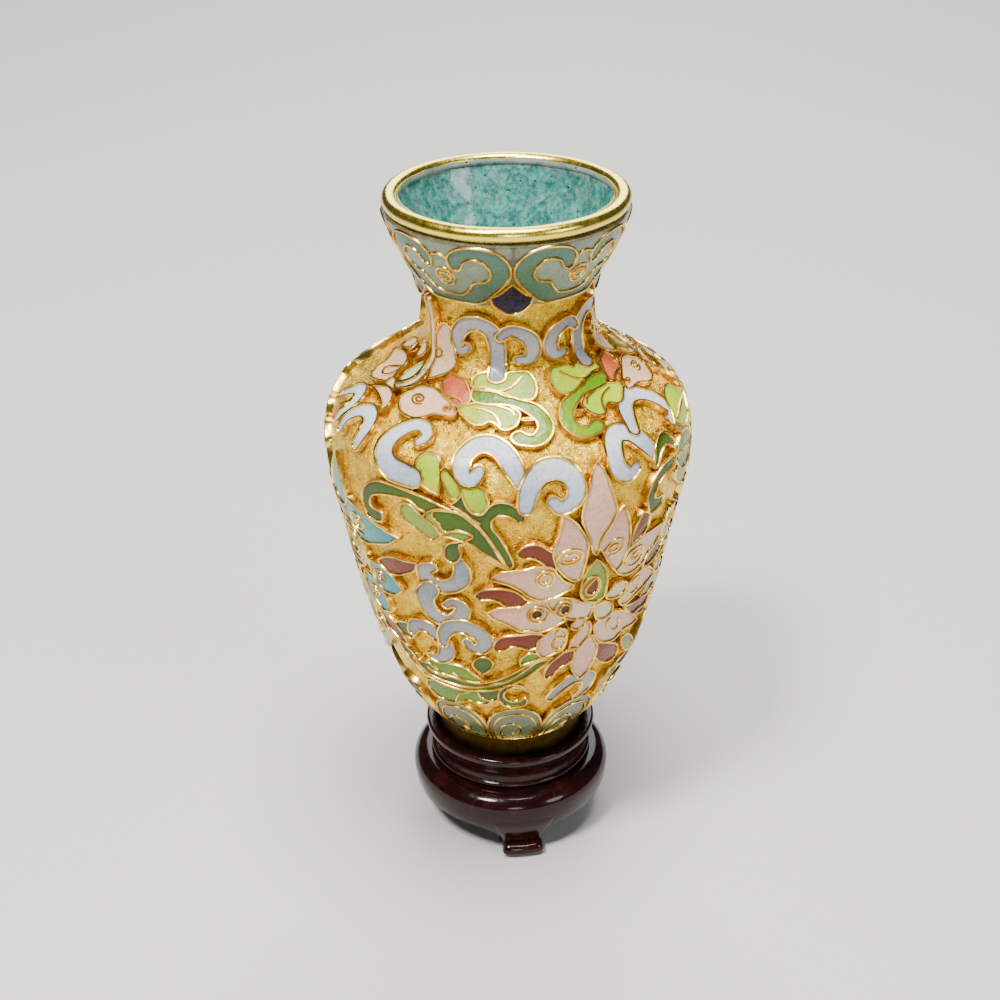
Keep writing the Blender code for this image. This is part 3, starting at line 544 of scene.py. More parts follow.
UPPER_SCROLLS = (
    band("blue_scroll", ((-81, 54.3), (-78.0, 55.1), (-74.5, 55.6), (-71.2, 55.4), (-69.9, 54.7),
                         (-70.6, 53.8), (-72.5, 53.0)), (0.9, 1.3, 1.6, 1.7, 1.5, 1.2, 0.8)),
    band("blue_scroll", ((-66.0, 53.0), (-65.6, 54.0), (-62.8, 54.8), (-59.2, 55.1), (-55.6, 54.9),
                         (-53.6, 54.1), (-54.4, 52.9)), (1.1, 1.4, 1.7, 1.8, 1.8, 1.6, 1.1)),
    band("blue_scroll", ((-29.6, 52.1), (-33, 52.2), (-38, 52.4), (-41.6, 53.3), (-42, 54.3), (-39.5, 55.1),
                         (-36, 55.6), (-32, 55.7), (-29.4, 55.2), (-31.0, 54.7)),
         (1.95, 2.21, 2.34, 2.21, 2.08, 1.82, 1.56, 1.43, 1.43, 1.04)),
    band("blue_scroll", ((3.6, 52.4), (1.2, 53.8), (-2.5, 54.8), (-7, 55.2), (-11.5, 55.0), (-14.6, 54.2),
                         (-14.0, 53.1), (-11, 52.8), (-9.2, 53.4)),
         (1.17, 1.82, 2.08, 2.08, 1.95, 1.95, 1.82, 1.69, 1.17)),
    band("blue_scroll", ((4.6, 50.2), (5.5, 51.8), (8.5, 53.1), (13, 53.5), (17.6, 53.0), (19.8, 51.7),
                         (18.6, 50.5), (14.9, 49.9), (12.4, 50.6)),
         (1.56, 1.95, 2.08, 2.08, 2.08, 2.08, 1.95, 1.69, 1.17)),
    band("blue_scroll", ((50, 52.0), (46.5, 53.6), (42, 54.6), (37.5, 54.7), (34.2, 53.8), (34.4, 52.3),
                         (38, 51.5), (40.8, 51.9)),
         (1.3, 1.82, 2.08, 2.08, 1.95, 1.95, 1.82, 1.17)),
    band("blue_scroll", ((45.6, 54.5), (49, 55.8), (55, 56.4), (62, 56.1), (67, 55.1), (67.6, 53.9),
                         (64.2, 53.7)), (1.17, 1.82, 1.95, 1.95, 1.82, 1.69, 1.17)),
)
SIDE_SCROLLS = (
    band("blue_scroll", ((104.6, 52.4), (103, 53.8), (99.4, 54.8), (95, 54.7), (91.8, 53.9), (92.2, 52.8),
                         (95, 52.6)), (0.9, 1.1, 1.3, 1.3, 1.3, 1.2, 0.9)),
    band("leaf_dark", ((49.5, 51.2), (52.4, 52.5), (56.4, 52.9), (60.4, 51.9)), (0.7, 1.2, 1.3, 0.7)),
    loop("leaf_mid", ((60, 50.2, 1), (66, 51.9), (74, 51.5), (81, 49.6, 1), (74, 48.0), (66, 48.3)),
         vein((62, 50.1), (70, 50.0), (78, 49.7))),
    loop("leaf_light", ((65, 53.3, 1), (72, 54.8), (80, 55.0), (87, 53.6, 1), (80, 52.3), (72, 52.2)),
         vein((68, 53.4), (76, 53.7), (84, 53.6))),
)
SHOULDER_LEAVES = (
    loop("leaf_light", ((-18.9, 58.8, 1), (-18.9, 59.3), (-17.1, 59.7), (-13.6, 59.9), (-9.3, 60),
         (-5.2, 59.8), (-2, 59.6, 1), (-0.1, 59.9), (3.4, 60), (7.5, 60), (11.3, 59.9), (13.8, 59.4),
         (14.3, 58.9), (13.4, 58.4), (10.7, 58), (7.6, 58), (4.1, 58.1), (0.5, 58.3), (-2.4, 58.5),
         (-5.5, 58.6), (-9.5, 58.7), (-13.6, 58.6)), vein((-17.9, 58.7), (-12.3, 58.8), (-4.9, 58.6),
         (0.1, 58.8), (4.4, 59.2), (7.4, 59.6))),
    loop("leaf_light", ((-21.4, 57.1, 1), (-20.8, 57.4), (-17.5, 57.6), (-13, 57.8), (-8.4, 57.8),
         (-4.2, 57.8), (-0.5, 57.7), (2.6, 57.4), (4.6, 57.1), (4.1, 56.7), (2.4, 56.3), (-0.1, 56.1),
         (-2.6, 56.1), (-4, 56.3), (-5.7, 56.5), (-7.6, 56.6), (-9.7, 56.4), (-12.4, 56.3), (-14.7,
         56.4), (-17.8, 56.7), (-20.1, 56.9)), vein((-13.8, 57.4), (-9.8, 57.3), (-6.5, 57.1), (-4.6,
         56.8), (-3.2, 56.3)), vein((-6.4, 57.7), (-1.8, 57.5), (1.2, 57.3), (2.4, 57))),
    loop("leaf_mid", ((-17.8, 58.6, 1), (-13, 58.6), (-9, 58.6), (-4.9, 58.5), (-1.7, 58.3), (2.2,
         58.2), (6, 58), (10, 57.8), (13.3, 57.5), (15.7, 57), (16.9, 56.4), (16.4, 55.9), (14.1, 55.4),
         (11.4, 55.1), (8.2, 55), (5.2, 55.1), (2.5, 55.2), (0.6, 55.6), (1.9, 55.9), (4, 56), (6.1,
         55.8), (8.1, 55.7), (9.8, 55.9), (10.8, 56.1), (10.8, 56.5), (9.5, 56.8), (7.4, 57.1), (4.6,
         57.4), (1.7, 57.6), (-1.8, 57.7), (-6.5, 57.7), (-11.1, 57.7), (-15, 57.8), (-17.3, 58.1))),
    # A dark sliver of painted shade in the gap between the leaves' hooks.
    disc("grime", (7.7, 56.7), (2.5, 0.15)),
    loop("coral", ((-34.7, 58.6), (-34.3, 59), (-32.5, 59.4), (-27.6, 59.3), (-23.9, 59.2), (-20.8,
         58.8), (-18.2, 58.3), (-17.8, 57.7), (-19.9, 57.6), (-22.7, 57.8), (-24.7, 58), (-27.6, 58),
         (-30.4, 57.9), (-33, 58.2))),
    loop("coral", ((-28.7, 57.8), (-26.4, 57.9), (-23.7, 57.9), (-20.4, 57.6), (-21.3, 57.3), (-23.9,
         57.4), (-26.2, 57.6))),
)
SHOULDER_FLOWER = (
    loop("blush", ((-72.6, 56.1, 1), (-68.1, 56.5), (-61.6, 56.9), (-56.2, 56.8), (-53.6, 56.4), (-52.9,
         55.9), (-54.3, 55.4, 1), (-56.3, 55.9), (-60.6, 56.2), (-66.6, 56.3))),
    loop("blush", ((-88, 58.5), (-79.1, 59), (-70.9, 59.1), (-66.2, 58.8), (-65, 58.1), (-64.3, 57.5),
         (-64.2, 57.2), (-67, 57), (-71.9, 56.7), (-78, 56.5), (-80.8, 56.7), (-81.8, 57.3), (-82.8,
         57.9), (-85.4, 58.2)), vein((-66.4, 58.4), (-72.8, 57.9), (-75.6, 57.5), (-74.3, 57.2), (-70.6,
         57.3), (-67.3, 57.7), (-65.5, 58.2))),
    loop("blush", ((-46.8, 64.3), (-41.9, 64.5), (-40, 64), (-39.1, 63.4), (-38, 62.6), (-35.1, 61.9),
         (-33.7, 61), (-32.3, 60.3), (-33.9, 59.6), (-37.9, 59.1), (-43.7, 58.6, 1), (-46.6, 59.2),
         (-50.4, 59.9), (-54.9, 60.6), (-56.6, 61.4), (-54.1, 62.4), (-50.7, 63.4)), ring((-48.4, 60.8),
         (4.0, 0.62))),
    loop("blush", ((-40.6, 58.2), (-36.8, 58.2), (-33.2, 58), (-30.1, 57.8), (-27.2, 57.6), (-24.3,
         57.3), (-22.4, 57), (-22, 56.7), (-24.2, 56.6), (-28.1, 56.6), (-31.6, 56.5), (-34.7, 56.2),
         (-37.9, 56), (-42, 56), (-45.5, 56.1), (-48.7, 56.4), (-50.6, 56.7), (-50.9, 57), (-49.7,
         57.3), (-48, 57.5), (-45.6, 58)), curl((-41.6, 57.2), (4.0, 0.72), 1.8)),
    disc("coral", (-26.7, 57.1), (1.5, 0.22)),
    loop("cream", ((-64.7, 56.9, 1), (-65.8, 57.2), (-63.4, 57.6), (-59.3, 57.3), (-56.2, 57.0, 1))),
    loop("cream", ((-57.6, 57.1, 1), (-60.3, 57.4), (-56.4, 57.7), (-52.4, 58), (-50.3, 58.5), (-49.7,
         59.1), (-50.9, 59.5, 1), (-46.8, 58.9), (-46.2, 58.4), (-48.3, 57.9), (-51.9, 57.5))),
    loop("pale_green", ((-54.5, 59.6, 1), (-52.6, 59.2), (-52.3, 58.7), (-53.1, 58.3), (-55.5, 57.9),
         (-59.7, 57.5, 1), (-60.4, 58), (-60, 58.5), (-57.8, 59.1))),
    loop("cream", ((-86.6, 58.9, 1), (-86.7, 59.4), (-83.7, 60), (-79, 60.4), (-74.6, 60.3), (-74.6,
         59.8), (-76.9, 59.4))),
    loop("brick", ((-73.5, 59.2, 1), (-74.3, 59.7), (-74.1, 60.2), (-71.1, 60.4), (-69.3, 60.1), (-68.7,
         59.7))),
    loop("cream", ((-62.1, 59.3, 1), (-66, 59.8), (-67.4, 60.6), (-65.3, 61.2), (-61.6, 61.0), (-59.2,
         60.1))),
)
NECK_STEM = (
    band("cream", ((-59, 66.2), (-58, 64.8), (-56.8, 63.4), (-55.4, 62.0), (-53.2, 60.9), (-51, 60.0),
                   (-49.4, 59.1), (-50.2, 58.3), (-53.4, 57.7), (-57.6, 57.3)),
         (1.15, 1.1, 1.0, 0.95, 0.9, 0.8, 0.75, 0.7, 0.65, 0.6)),
)
NECK_SCROLLS = (
    band("grey_scroll", ((-6.4, 59.6), (-6.3, 61.6), (-7.6, 63.5), (-12, 64.8), (-19, 65.3), (-27, 65.0),
                         (-33, 63.9), (-34.4, 62.8), (-30.5, 61.9), (-26.4, 62.4)),
         (1.5, 1.5, 1.55, 1.6, 1.7, 1.75, 1.7, 1.6, 1.4, 0.9)),
    band("grey_scroll", ((-4.6, 63.9), (1, 64.6), (8, 64.3), (14.4, 63.4), (16, 62.2), (12, 61.3),
                         (6.4, 61.4)),
         (1.0, 1.4, 1.5, 1.6, 1.6, 1.4, 0.9)),
)
NECK_CELL = (
    loop("neck_green", ((-36, 68.4, 1), (-24, 67.7), (-15, 67.5), (0, 67.5), (15, 67.5), (24, 67.7),
                        (36, 68.4, 1), (36, 72, 1), (36, 74.95, 1), (18, 74.95), (0, 74.95), (-18, 74.95),
                        (-36, 74.95, 1), (-36, 72, 1)), edged=False),
    loop("neck_pale", ((0, 68.6), (8.5, 68.75), (13.5, 69.5), (16.5, 70.4), (22.5, 70.7), (25.9, 71.5),
                       (25, 72.7), (19.5, 73.5), (12.5, 73.3), (8.8, 72.6), (5, 73.1), (0, 73.5),
                       (-5, 73.1), (-8.8, 72.6), (-12.5, 73.3), (-19.5, 73.5), (-25, 72.7), (-25.9, 71.5),
                       (-22.5, 70.7), (-16.5, 70.4), (-13.5, 69.5), (-8.5, 68.75)),
         ring((0.5, 70.9), (5.4, 1.15)), ring((0.5, 70.9), (3.0, 0.6))),
    loop("neck_teal", ((0, 67.7), (8, 67.7), (16, 67.8), (22, 68.4), (26, 69.2), (31.5, 70.3), (35.2, 71.8),
                       (33.6, 73.2), (28, 74.3), (20, 74.7), (11, 74.4), (5.6, 73.5), (4.6, 72.5),
                       (7, 71.8), (10.5, 72.1), (13.5, 73.0), (19.5, 73.3), (24.6, 72.5), (25.3, 71.5),
                       (22, 70.8), (16, 70.5), (13, 69.7), (8.5, 68.9), (0, 68.7), (-8.5, 68.9), (-13, 69.7),
                       (-16, 70.5), (-22, 70.8), (-25.3, 71.5), (-24.6, 72.5), (-19.5, 73.3), (-13.5, 73.0),
                       (-10.5, 72.1), (-7, 71.8), (-4.6, 72.5), (-5.6, 73.5), (-11, 74.4), (-20, 74.7),
                       (-28, 74.3), (-33.6, 73.2), (-35.2, 71.8), (-31.5, 70.3), (-26, 69.2), (-22, 68.4),
                       (-16, 67.8), (-8, 67.7))),
)
NECK_LOBE = (
    loop("navy", ((0, 70.6, 1), (3.4, 69.9), (7.5, 69.2), (12.4, 68.8, 1), (11.4, 67.9), (6.5, 67.0),
                  (0, 66.6), (-6.5, 67.0), (-11.4, 67.9), (-12.4, 68.8, 1), (-7.5, 69.2), (-3.4, 69.9))),
)
LAPPET = (
    loop("slate", ((0, 21.6), (6, 21.2), (11, 20.0), (14.2, 18), (14.8, 15.8), (14.6, 13.8, 1),
                   (7, 13.75), (0, 13.75), (-7, 13.75), (-14.6, 13.8, 1), (-14.8, 15.8), (-14.2, 18),
                   (-11, 20.0), (-6, 21.2)),
         vein((-12.2, 13.9), (-12.2, 16.5), (-10.2, 18.6), (-5.6, 20.1), (0, 20.5), (5.6, 20.1),
              (10.2, 18.6), (12.2, 16.5), (12.2, 13.9)),
         vein((-7.6, 13.9), (-8.2, 16.2), (-6.2, 17.9), (-2.2, 18.5), (2.4, 17.8), (3.6, 16.4),
              (1.2, 15.5), (-1.8, 16.0))),
)

# The angles in degrees that copies of the groups are turned by, and those they are mirrored at.
FRONT = (0.0,)
FLOWER_TURNS = (0.0, 180.0)
SPRAY_TURNS = (0.0, 95.0, 180.0, 275.0)
LOW_SCROLL_TURNS = (0.0, 118.0, 180.0, 222.0)
NECK_SCROLL_TURNS = (0.0, 134.0)
LAST_NECK_SCROLL = (240.0,)
THIRD_SHOULDER_FLOWER = (259.5,)
SHOULDER_MIDDLE = 18.5
NECK_MIDDLE = 22.0
SIDE_MIDDLE = -66.0
# How many lappets and neck panels go round, and where the first of each stands in degrees.
LAPPETS = 12
FIRST_LAPPET = 2.0
NECK_PANELS = 5
FIRST_NECK_PANEL = 38.5


def evenly(count, first):
    """The turns of copies spaced evenly round the body."""
    return [first + 360.0 / count * number for number in range(count)]


def copies(turns, mirrors=(None,)):
    """The placings of a group's copies: how far each is turned, and the angle it is mirrored at."""
    return [(turned_by, mirror_at) for turned_by in turns for mirror_at in mirrors]


# The groups of cells, with their entries and their copies. A later group lies over an earlier one.
LAYOUT = (
    ("base_lappets", LAPPET, copies(evenly(LAPPETS, FIRST_LAPPET))),
    ("lower_leaves", LOWER_LEAVES, copies(FLOWER_TURNS) + copies(FRONT, (SIDE_MIDDLE,))),
    ("belly_scrolls", BELLY_SCROLLS, copies(FLOWER_TURNS, (None, SIDE_MIDDLE))),
    ("belly_scrolls", LOW_SCROLLS, copies(LOW_SCROLL_TURNS)),
    ("side_flowers", SIDE_FLOWER_HALF, copies(FLOWER_TURNS, (None, SIDE_MIDDLE))),
    ("side_flowers", SIDE_FLOWER_MIDDLE, copies(FLOWER_TURNS)),
    ("lotus_flowers", LOTUS_SEPALS, copies(FLOWER_TURNS)),
    ("lotus_flowers", LOTUS, copies(FLOWER_TURNS)),
    ("leaf_sprays", SPRAYS, copies(SPRAY_TURNS)),
    ("upper_scrolls", UPPER_SCROLLS, copies(FLOWER_TURNS)),
    ("upper_scrolls", SIDE_SCROLLS, copies(FRONT)),
    ("shoulder_leaves", SHOULDER_LEAVES, copies(FRONT, (None, SHOULDER_MIDDLE))),
    ("neck_scrolls", NECK_SCROLLS,
     copies(NECK_SCROLL_TURNS, (None, NECK_MIDDLE)) + copies(LAST_NECK_SCROLL)),
    ("shoulder_flowers", SHOULDER_FLOWER,
     copies(FRONT, (None, SHOULDER_MIDDLE)) + copies(THIRD_SHOULDER_FLOWER)),
    ("shoulder_flowers", NECK_STEM, copies(FRONT)),
    ("neck_band", NECK_CELL, copies(evenly(NECK_PANELS, FIRST_NECK_PANEL))),
    ("neck_band", NECK_LOBE, copies(evenly(NECK_PANELS, FIRST_NECK_PANEL - 180.0 / NECK_PANELS))),
)


def all_cells():
    """Every cell of the pattern, the lowest first."""
    cells = []
    for group, entries, placings in LAYOUT:
        drawn_cells = cells_of(group, entries)
        for turned_by, mirror_at in placings:
            cells.extend(cell.moved(turned_by, mirror_at) for cell in drawn_cells)
    return cells


def near_side(outline, degrees):
    """An outline turned by whole turns to lie as near as it can to an angle."""
    turns = round((degrees - outline[:, 0].mean()) / 360.0)
    return outline + np.array((360.0 * turns, 0.0))


def cuts_over(cells, index):
    """The outlines of later cells that lie over one cell."""
    outline = cells[index].outline
    low, high = outline.min(0), outline.max(0)
    middle = outline[:, 0].mean()
    found = []
    for later in cells[index + 1:]:
        other = near_side(later.outline, middle)
        if (other.min(0) < high).all() and (other.max(0) > low).all():
            found.append(other)
    return found


@lru_cache(maxsize=None)
def pattern():
    """Every cell with the later outlines that lie over it."""
    cells = all_cells()
    return [(cell, cuts_over(cells, index)) for index, cell in enumerate(cells)]


# The points over a cell's top, in mm: their step, the height of a row, their gap to an edge, and how near
# two points join.
FILL_STEP = 0.42
FILL_ROW = 0.87 * FILL_STEP
FILL_GAP = 0.45 * FILL_STEP
JOIN_GAP = 0.0001
# How far in from its edge a cell's crown rises and its dirty rim reaches, in mm.
CROWN_REACH = 0.8
DIRTY_RIM = 0.42


def fill_cell(cell, cuts, edge_height, crown):
    """The visible top of one cell, as (places, proud, shade, rim, triangles).

    The shade grows from the cell's first point to its far end, and the rim from its edges inwards.
    """
    plane = plane_of(cell.outline)
    edge = plane.flat(cell.outline)
    holes = [plane.flat(cut) for cut in cuts]
    low, high = edge.min(0), edge.max(0)
    columns = np.arange(low[0], high[0], FILL_STEP)
    rows = np.arange(low[1], high[1], FILL_ROW)
    grid = np.array([(x + (j % 2) * FILL_STEP / 2, y) for j, y in enumerate(rows) for x in columns])
    if len(grid):
        grid = grid[inside(grid, edge)]
    for hole in holes:
        if len(grid):
            grid = grid[~inside(grid, hole)]
    for line in [edge] + holes:
        if len(grid):
            grid = grid[edge_distance(grid, line) > FILL_GAP]
    points, sides = [], []
    for line in [edge] + holes:
        first = len(points)
        points.extend(line)
        sides.extend((first + i, first + (i + 1) % len(line)) for i in range(len(line)))
    points.extend(grid)
    found = delaunay_2d_cdt([Vector(p) for p in points], sides, [], 0, JOIN_GAP, False)
    places = np.array([tuple(v) for v in found[0]])
    triangles = np.array(found[2])
    middles = places[triangles].mean(1)
    kept = inside(middles, edge)
    for hole in holes:
        kept &= ~inside(middles, hole)
    triangles = triangles[kept]
    if not len(triangles):
        return None
    a, b, c = (places[triangles[:, k]] for k in range(3))
    turned = np.cross(b - a, c - a) < 0.0
    triangles[turned] = triangles[turned][:, ::-1]
    used, triangles = np.unique(triangles, return_inverse=True)
    triangles = triangles.reshape(-1, 3)
    places = places[used]
    gap = np.min([edge_distance(places, line) for line in [edge] + holes], axis=0)
    rise = 1.0 - (1.0 - np.clip(gap / CROWN_REACH, 0.0, 1.0)) ** 2
    axis = edge.mean(0) - edge[0]
    shade = np.clip((places - edge[0]) @ axis / (2.0 * axis @ axis), 0.0, 1.0)
    rim = np.clip(gap / DIRTY_RIM, 0.0, 1.0)
    return plane.round(places), edge_height + crown * rise, shade, rim, triangles


def skirt(places, triangles):
    """The open edges of a sheet, each running along its triangle."""
    sides = {}
    for a, b, c in triangles:
        for side in ((a, b), (b, c), (c, a)):
            sides[side] = True
    return [side for side in sides if (side[1], side[0]) not in sides]


# A wire's section, as shares of its width across and of its height up. None is its root.
WIRE_SECTION = ((0.5, None), (0.5, 0.84), (0.26, 1.0), (-0.26, 1.0), (-0.5, 0.84), (-0.5, None))


def sweep(places, closed, width, top):
    """A wire laid on edge along places on the body, as (points, faces)."""
    degrees, run = places[:, 0], places[:, 1]
    scale = degree_length(run)
    if closed:
        step = np.roll(places, -1, axis=0) - np.roll(places, 1, axis=0)
    else:
        step = np.gradient(places, axis=0)
    x, y = step[:, 0] * scale, step[:, 1]
    length = np.maximum(np.hypot(x, y), 1e-9)
    rings = []
    for across, up in WIRE_SECTION:
        proud = ROOT if up is None else up * top
        rings.append(on_body(degrees - across * width * y / length / scale,
                             run + across * width * x / length, proud))
    points = np.stack(rings, axis=1).reshape(-1, 3)
    sides = len(WIRE_SECTION)
    count = len(run)
    faces = []
    for i in range(count if closed else count - 1):
        j = (i + 1) % count
        for k in range(sides - 1):
            faces.append((i * sides + k, i * sides + k + 1, j * sides + k + 1, j * sides + k))
    if not closed:
        faces.append(tuple(range(sides - 1, -1, -1)))
        faces.append(tuple((count - 1) * sides + k for k in range(sides)))
    return points, faces


def clipped(places, closed, cuts):
    """The stretches of a wire that no later cell covers, as (places, closed)."""
    shown = np.ones(len(places), bool)
    for cut in cuts:
        shown &= ~inside(places, cut)
    if shown.all():
        return [(places, closed)]
    if closed:
        start = int(np.argmin(shown))
        places, shown = np.roll(places, -start, axis=0), np.roll(shown, -start)
    stretches, current = [], []
    for place, seen in zip(places, shown):
        if seen:
            current.append(place)
        elif current:
            stretches.append(current)
            current = []
    if current:
        stretches.append(current)
    return [(np.array(part), False) for part in stretches if len(part) > 2]


def wires_of(cell, cuts):
    """All the wires of one cell, as (places, closed, share of the full width)."""
    lines = list(cell.lines)
    if cell.edged:
        lines.append((cell.outline, True, EDGE_WIRE))
    found = []
    for places, closed, width in lines:
        near = [near_side(cut, places[:, 0].mean()) for cut in cuts]
        found.extend((part, still, width) for part, still in clipped(places, closed, near))
    return found


class Sheet:
    """Points and faces gathered for one mesh, with a material number for each face."""

    def __init__(self):
        self.points, self.faces, self.finishes = [], [], []
        self.count = 0

    def add(self, points, faces, finish=0):
        """Adds a part whose faces count its own points from nought."""
        self.points.append(np.asarray(points))
        self.faces.extend([tuple(int(v) + self.count for v in face) for face in faces])
        self.finishes.extend([finish] * len(faces))
        self.count += len(points)

    def to_object(self, name, materials, sharp):
        """The mesh object, smooth except over edges sharper than an angle in degrees."""
        mesh = bpy.data.meshes.new(name)
        mesh.from_pydata(np.vstack(self.points).tolist(), [], self.faces)
        mesh.polygons.foreach_set("material_index", self.finishes)
        mesh.shade_smooth()
        mesh.set_sharp_from_angle(angle=math.radians(sharp))
        for finish in materials:
            mesh.materials.append(finish)
        made = bpy.data.objects.new(name, mesh)
        bpy.context.scene.collection.objects.link(made)
        return made


class Paint:
    """A node material in the making. Places are taken in metres on the object."""

    def __init__(self, name, colour, roughness, metallic=0.0):
        self.material = bpy.data.materials.new(name)
        self.material.use_nodes = True
        self.material.diffuse_color = (*colour, 1.0)
        self.nodes = self.material.node_tree.nodes
        self.links = self.material.node_tree.links
        self.shader = self.nodes["Principled BSDF"]
        self.set("Base Color", (*colour, 1.0))
        self.set("Roughness", roughness)
        self.set("Metallic", metallic)
        self.where = self.nodes.new("ShaderNodeTexCoord").outputs["Object"]

    def set(self, name, value):
        """Sets a number or a colour straight on the shader."""
        self.shader.inputs[name].default_value = value

    def noise(self, size, detail=3.0, roughness=0.55, distortion=0.0):
        """Cloudy noise whose clouds are about as wide as the size, in mm."""
        made = self.nodes.new("ShaderNodeTexNoise")
        made.inputs["Scale"].default_value = 1000.0 / size
        made.inputs["Detail"].default_value = detail
        made.inputs["Roughness"].default_value = roughness
        made.inputs["Distortion"].default_value = distortion
        self.links.new(self.where, made.inputs["Vector"])
        return made.outputs["Fac"]

    def cells(self, size):
        """The distance from scattered points, as a share of their spacing in mm."""
        made = self.nodes.new("ShaderNodeTexVoronoi")
        made.inputs["Scale"].default_value = 1000.0 / size
        self.links.new(self.where, made.inputs["Vector"])
        return made.outputs["Distance"]

    def attribute(self, name):
        """A number stored for each point of the piece."""
        made = self.nodes.new("ShaderNodeAttribute")
        made.attribute_name = name
        return made.outputs["Fac"]

    def spread(self, value, low, high, start=0.0, end=1.0):
        """Stretches one span of a value over another, and cuts off the rest."""
        made = self.nodes.new("ShaderNodeMapRange")
        made.inputs["From Min"].default_value = low
        made.inputs["From Max"].default_value = high
        made.inputs["To Min"].default_value = start
        made.inputs["To Max"].default_value = end
        self.links.new(value, made.inputs["Value"])
        return made.outputs["Result"]

    def maths(self, operation, a, b):
        """Two values put together, each a number or another node's result."""
        made = self.nodes.new("ShaderNodeMath")
        made.operation = operation
        for put, value in zip(made.inputs, (a, b)):
            if isinstance(value, float):
                put.default_value = value
            else:
                self.links.new(value, put)
        return made.outputs["Value"]

    def ramp(self, value, *stops):
        """A colour picked by a value between (place, colour) stops."""
        made = self.nodes.new("ShaderNodeValToRGB")
        elements = made.color_ramp.elements
        while len(elements) < len(stops):
            elements.new(0.5)
        for element, (at, colour) in zip(elements, stops):
            element.position = at
            element.color = (*colour, 1.0)
        self.links.new(value, made.inputs["Fac"])
        return made.outputs["Color"]

    def mix(self, share, a, b):
        """A colour between two, each a colour or another node's result."""
        made = self.nodes.new("ShaderNodeMix")
        made.data_type = "RGBA"
        colour_inputs = [put for put in made.inputs if put.type == "RGBA"]
        for put, value in zip([made.inputs[0]] + colour_inputs, (share, a, b)):
            if isinstance(value, bpy.types.NodeSocket):
                self.links.new(value, put)
            else:
                put.default_value = value if isinstance(value, float) else (*value, 1.0)
        return [out for out in made.outputs if out.type == "RGBA"][0]

    def bump(self, height, depth, strength, below=None):
        """Fine relief from a value, with its depth in mm."""
        made = self.nodes.new("ShaderNodeBump")
        made.inputs["Distance"].default_value = depth * MM
        made.inputs["Strength"].default_value = strength
        self.links.new(height, made.inputs["Height"])
        if below is not None:
            self.links.new(below, made.inputs["Normal"])
        return made.outputs["Normal"]

    def plug(self, name, value):
        """Leads another node's result into the shader."""
        self.links.new(value, self.shader.inputs[name])


def darker(colour, share):
    """A colour with each part scaled by a share. Over 1 it turns brighter."""
    return tuple(part * share for part in colour)


def blend_of(a, b, share):
    """A colour some share of the way from one to another."""
    return tuple(p + (q - p) * share for p, q in zip(a, b))


# What takes the pale sheen off a colour as it is seen: how much purer and darker it is underneath.
SHEEN_PURER = 1.5
SHEEN_DARKER = 0.8
DARKEST = 0.002


def linear(*paint):
    """The linear colour of an enamel seen as values from 0 to 255, without the pale sheen over it."""
    parts = [(part / 255.0) ** 2.2 for part in paint]
    grey = sum(parts) / 3
    return tuple(max(SHEEN_DARKER * (grey + SHEEN_PURER * (part - grey)), DARKEST) for part in parts)


# Each enamel: what it covers, its colour, and the colour of the clouds in it.
ENAMELS = {
    "lotus": ("Lotus petals", (226, 182, 164), (238, 216, 190)),
    "cream": ("Cream petals", (234, 212, 184), (240, 224, 204)),
    "blush": ("Blush petals", (236, 206, 184), (226, 184, 164)),
    "brick": ("Sepals", (104, 54, 28), (124, 68, 38)),
    "coral": ("Coral buds", (178, 104, 90), (204, 134, 110)),
    "leaf_dark": ("Dark leaves", (58, 76, 24), (80, 100, 32)),
    "leaf_mid": ("Leaves", (96, 126, 42), (126, 152, 66)),
    "leaf_light": ("Pale leaves", (184, 198, 104), (150, 176, 78)),
    "sage": ("Sage leaves", (150, 164, 100), (112, 138, 66)),
    "pale_green": ("Pale green petals", (188, 222, 170), (216, 234, 204)),
    "blue_scroll": ("Blue-white scrolls", (180, 188, 202), (226, 226, 228)),
    "grey_scroll": ("Grey scrolls", (146, 146, 152), (182, 178, 174)),
    "turquoise": ("Turquoise petals", (84, 142, 146), (120, 166, 160)),
    "neck_green": ("Neck band", (128, 138, 120), (150, 156, 138)),
    "neck_pale": ("Neck band middles", (130, 146, 132), (158, 166, 148)),
    "neck_teal": ("Neck band scrolls", (84, 108, 96), (104, 126, 110)),
    "navy": ("Navy lobes", (30, 24, 44), (40, 32, 58)),
    "slate": ("Base lappets", (92, 100, 80), (126, 132, 112)),
    # Painted shade: dark enamel laid in small hollows where the gilt ground lies in shade.
    "grime": ("Dark pits", (48, 30, 18), (82, 54, 30)),
}


# Colours of dirt, of wear and of the painted sheen on the lining's top edge, and the roughness of the fired
# enamel.
RIM_DIRT = (0.13, 0.07, 0.03)
WORN_WIRE = (0.16, 0.07, 0.02)
LINING_SHEEN = (0.62, 0.6, 0.5)
WHITE = (1.0, 1.0, 1.0)
ENAMEL_GLOSS = 0.17


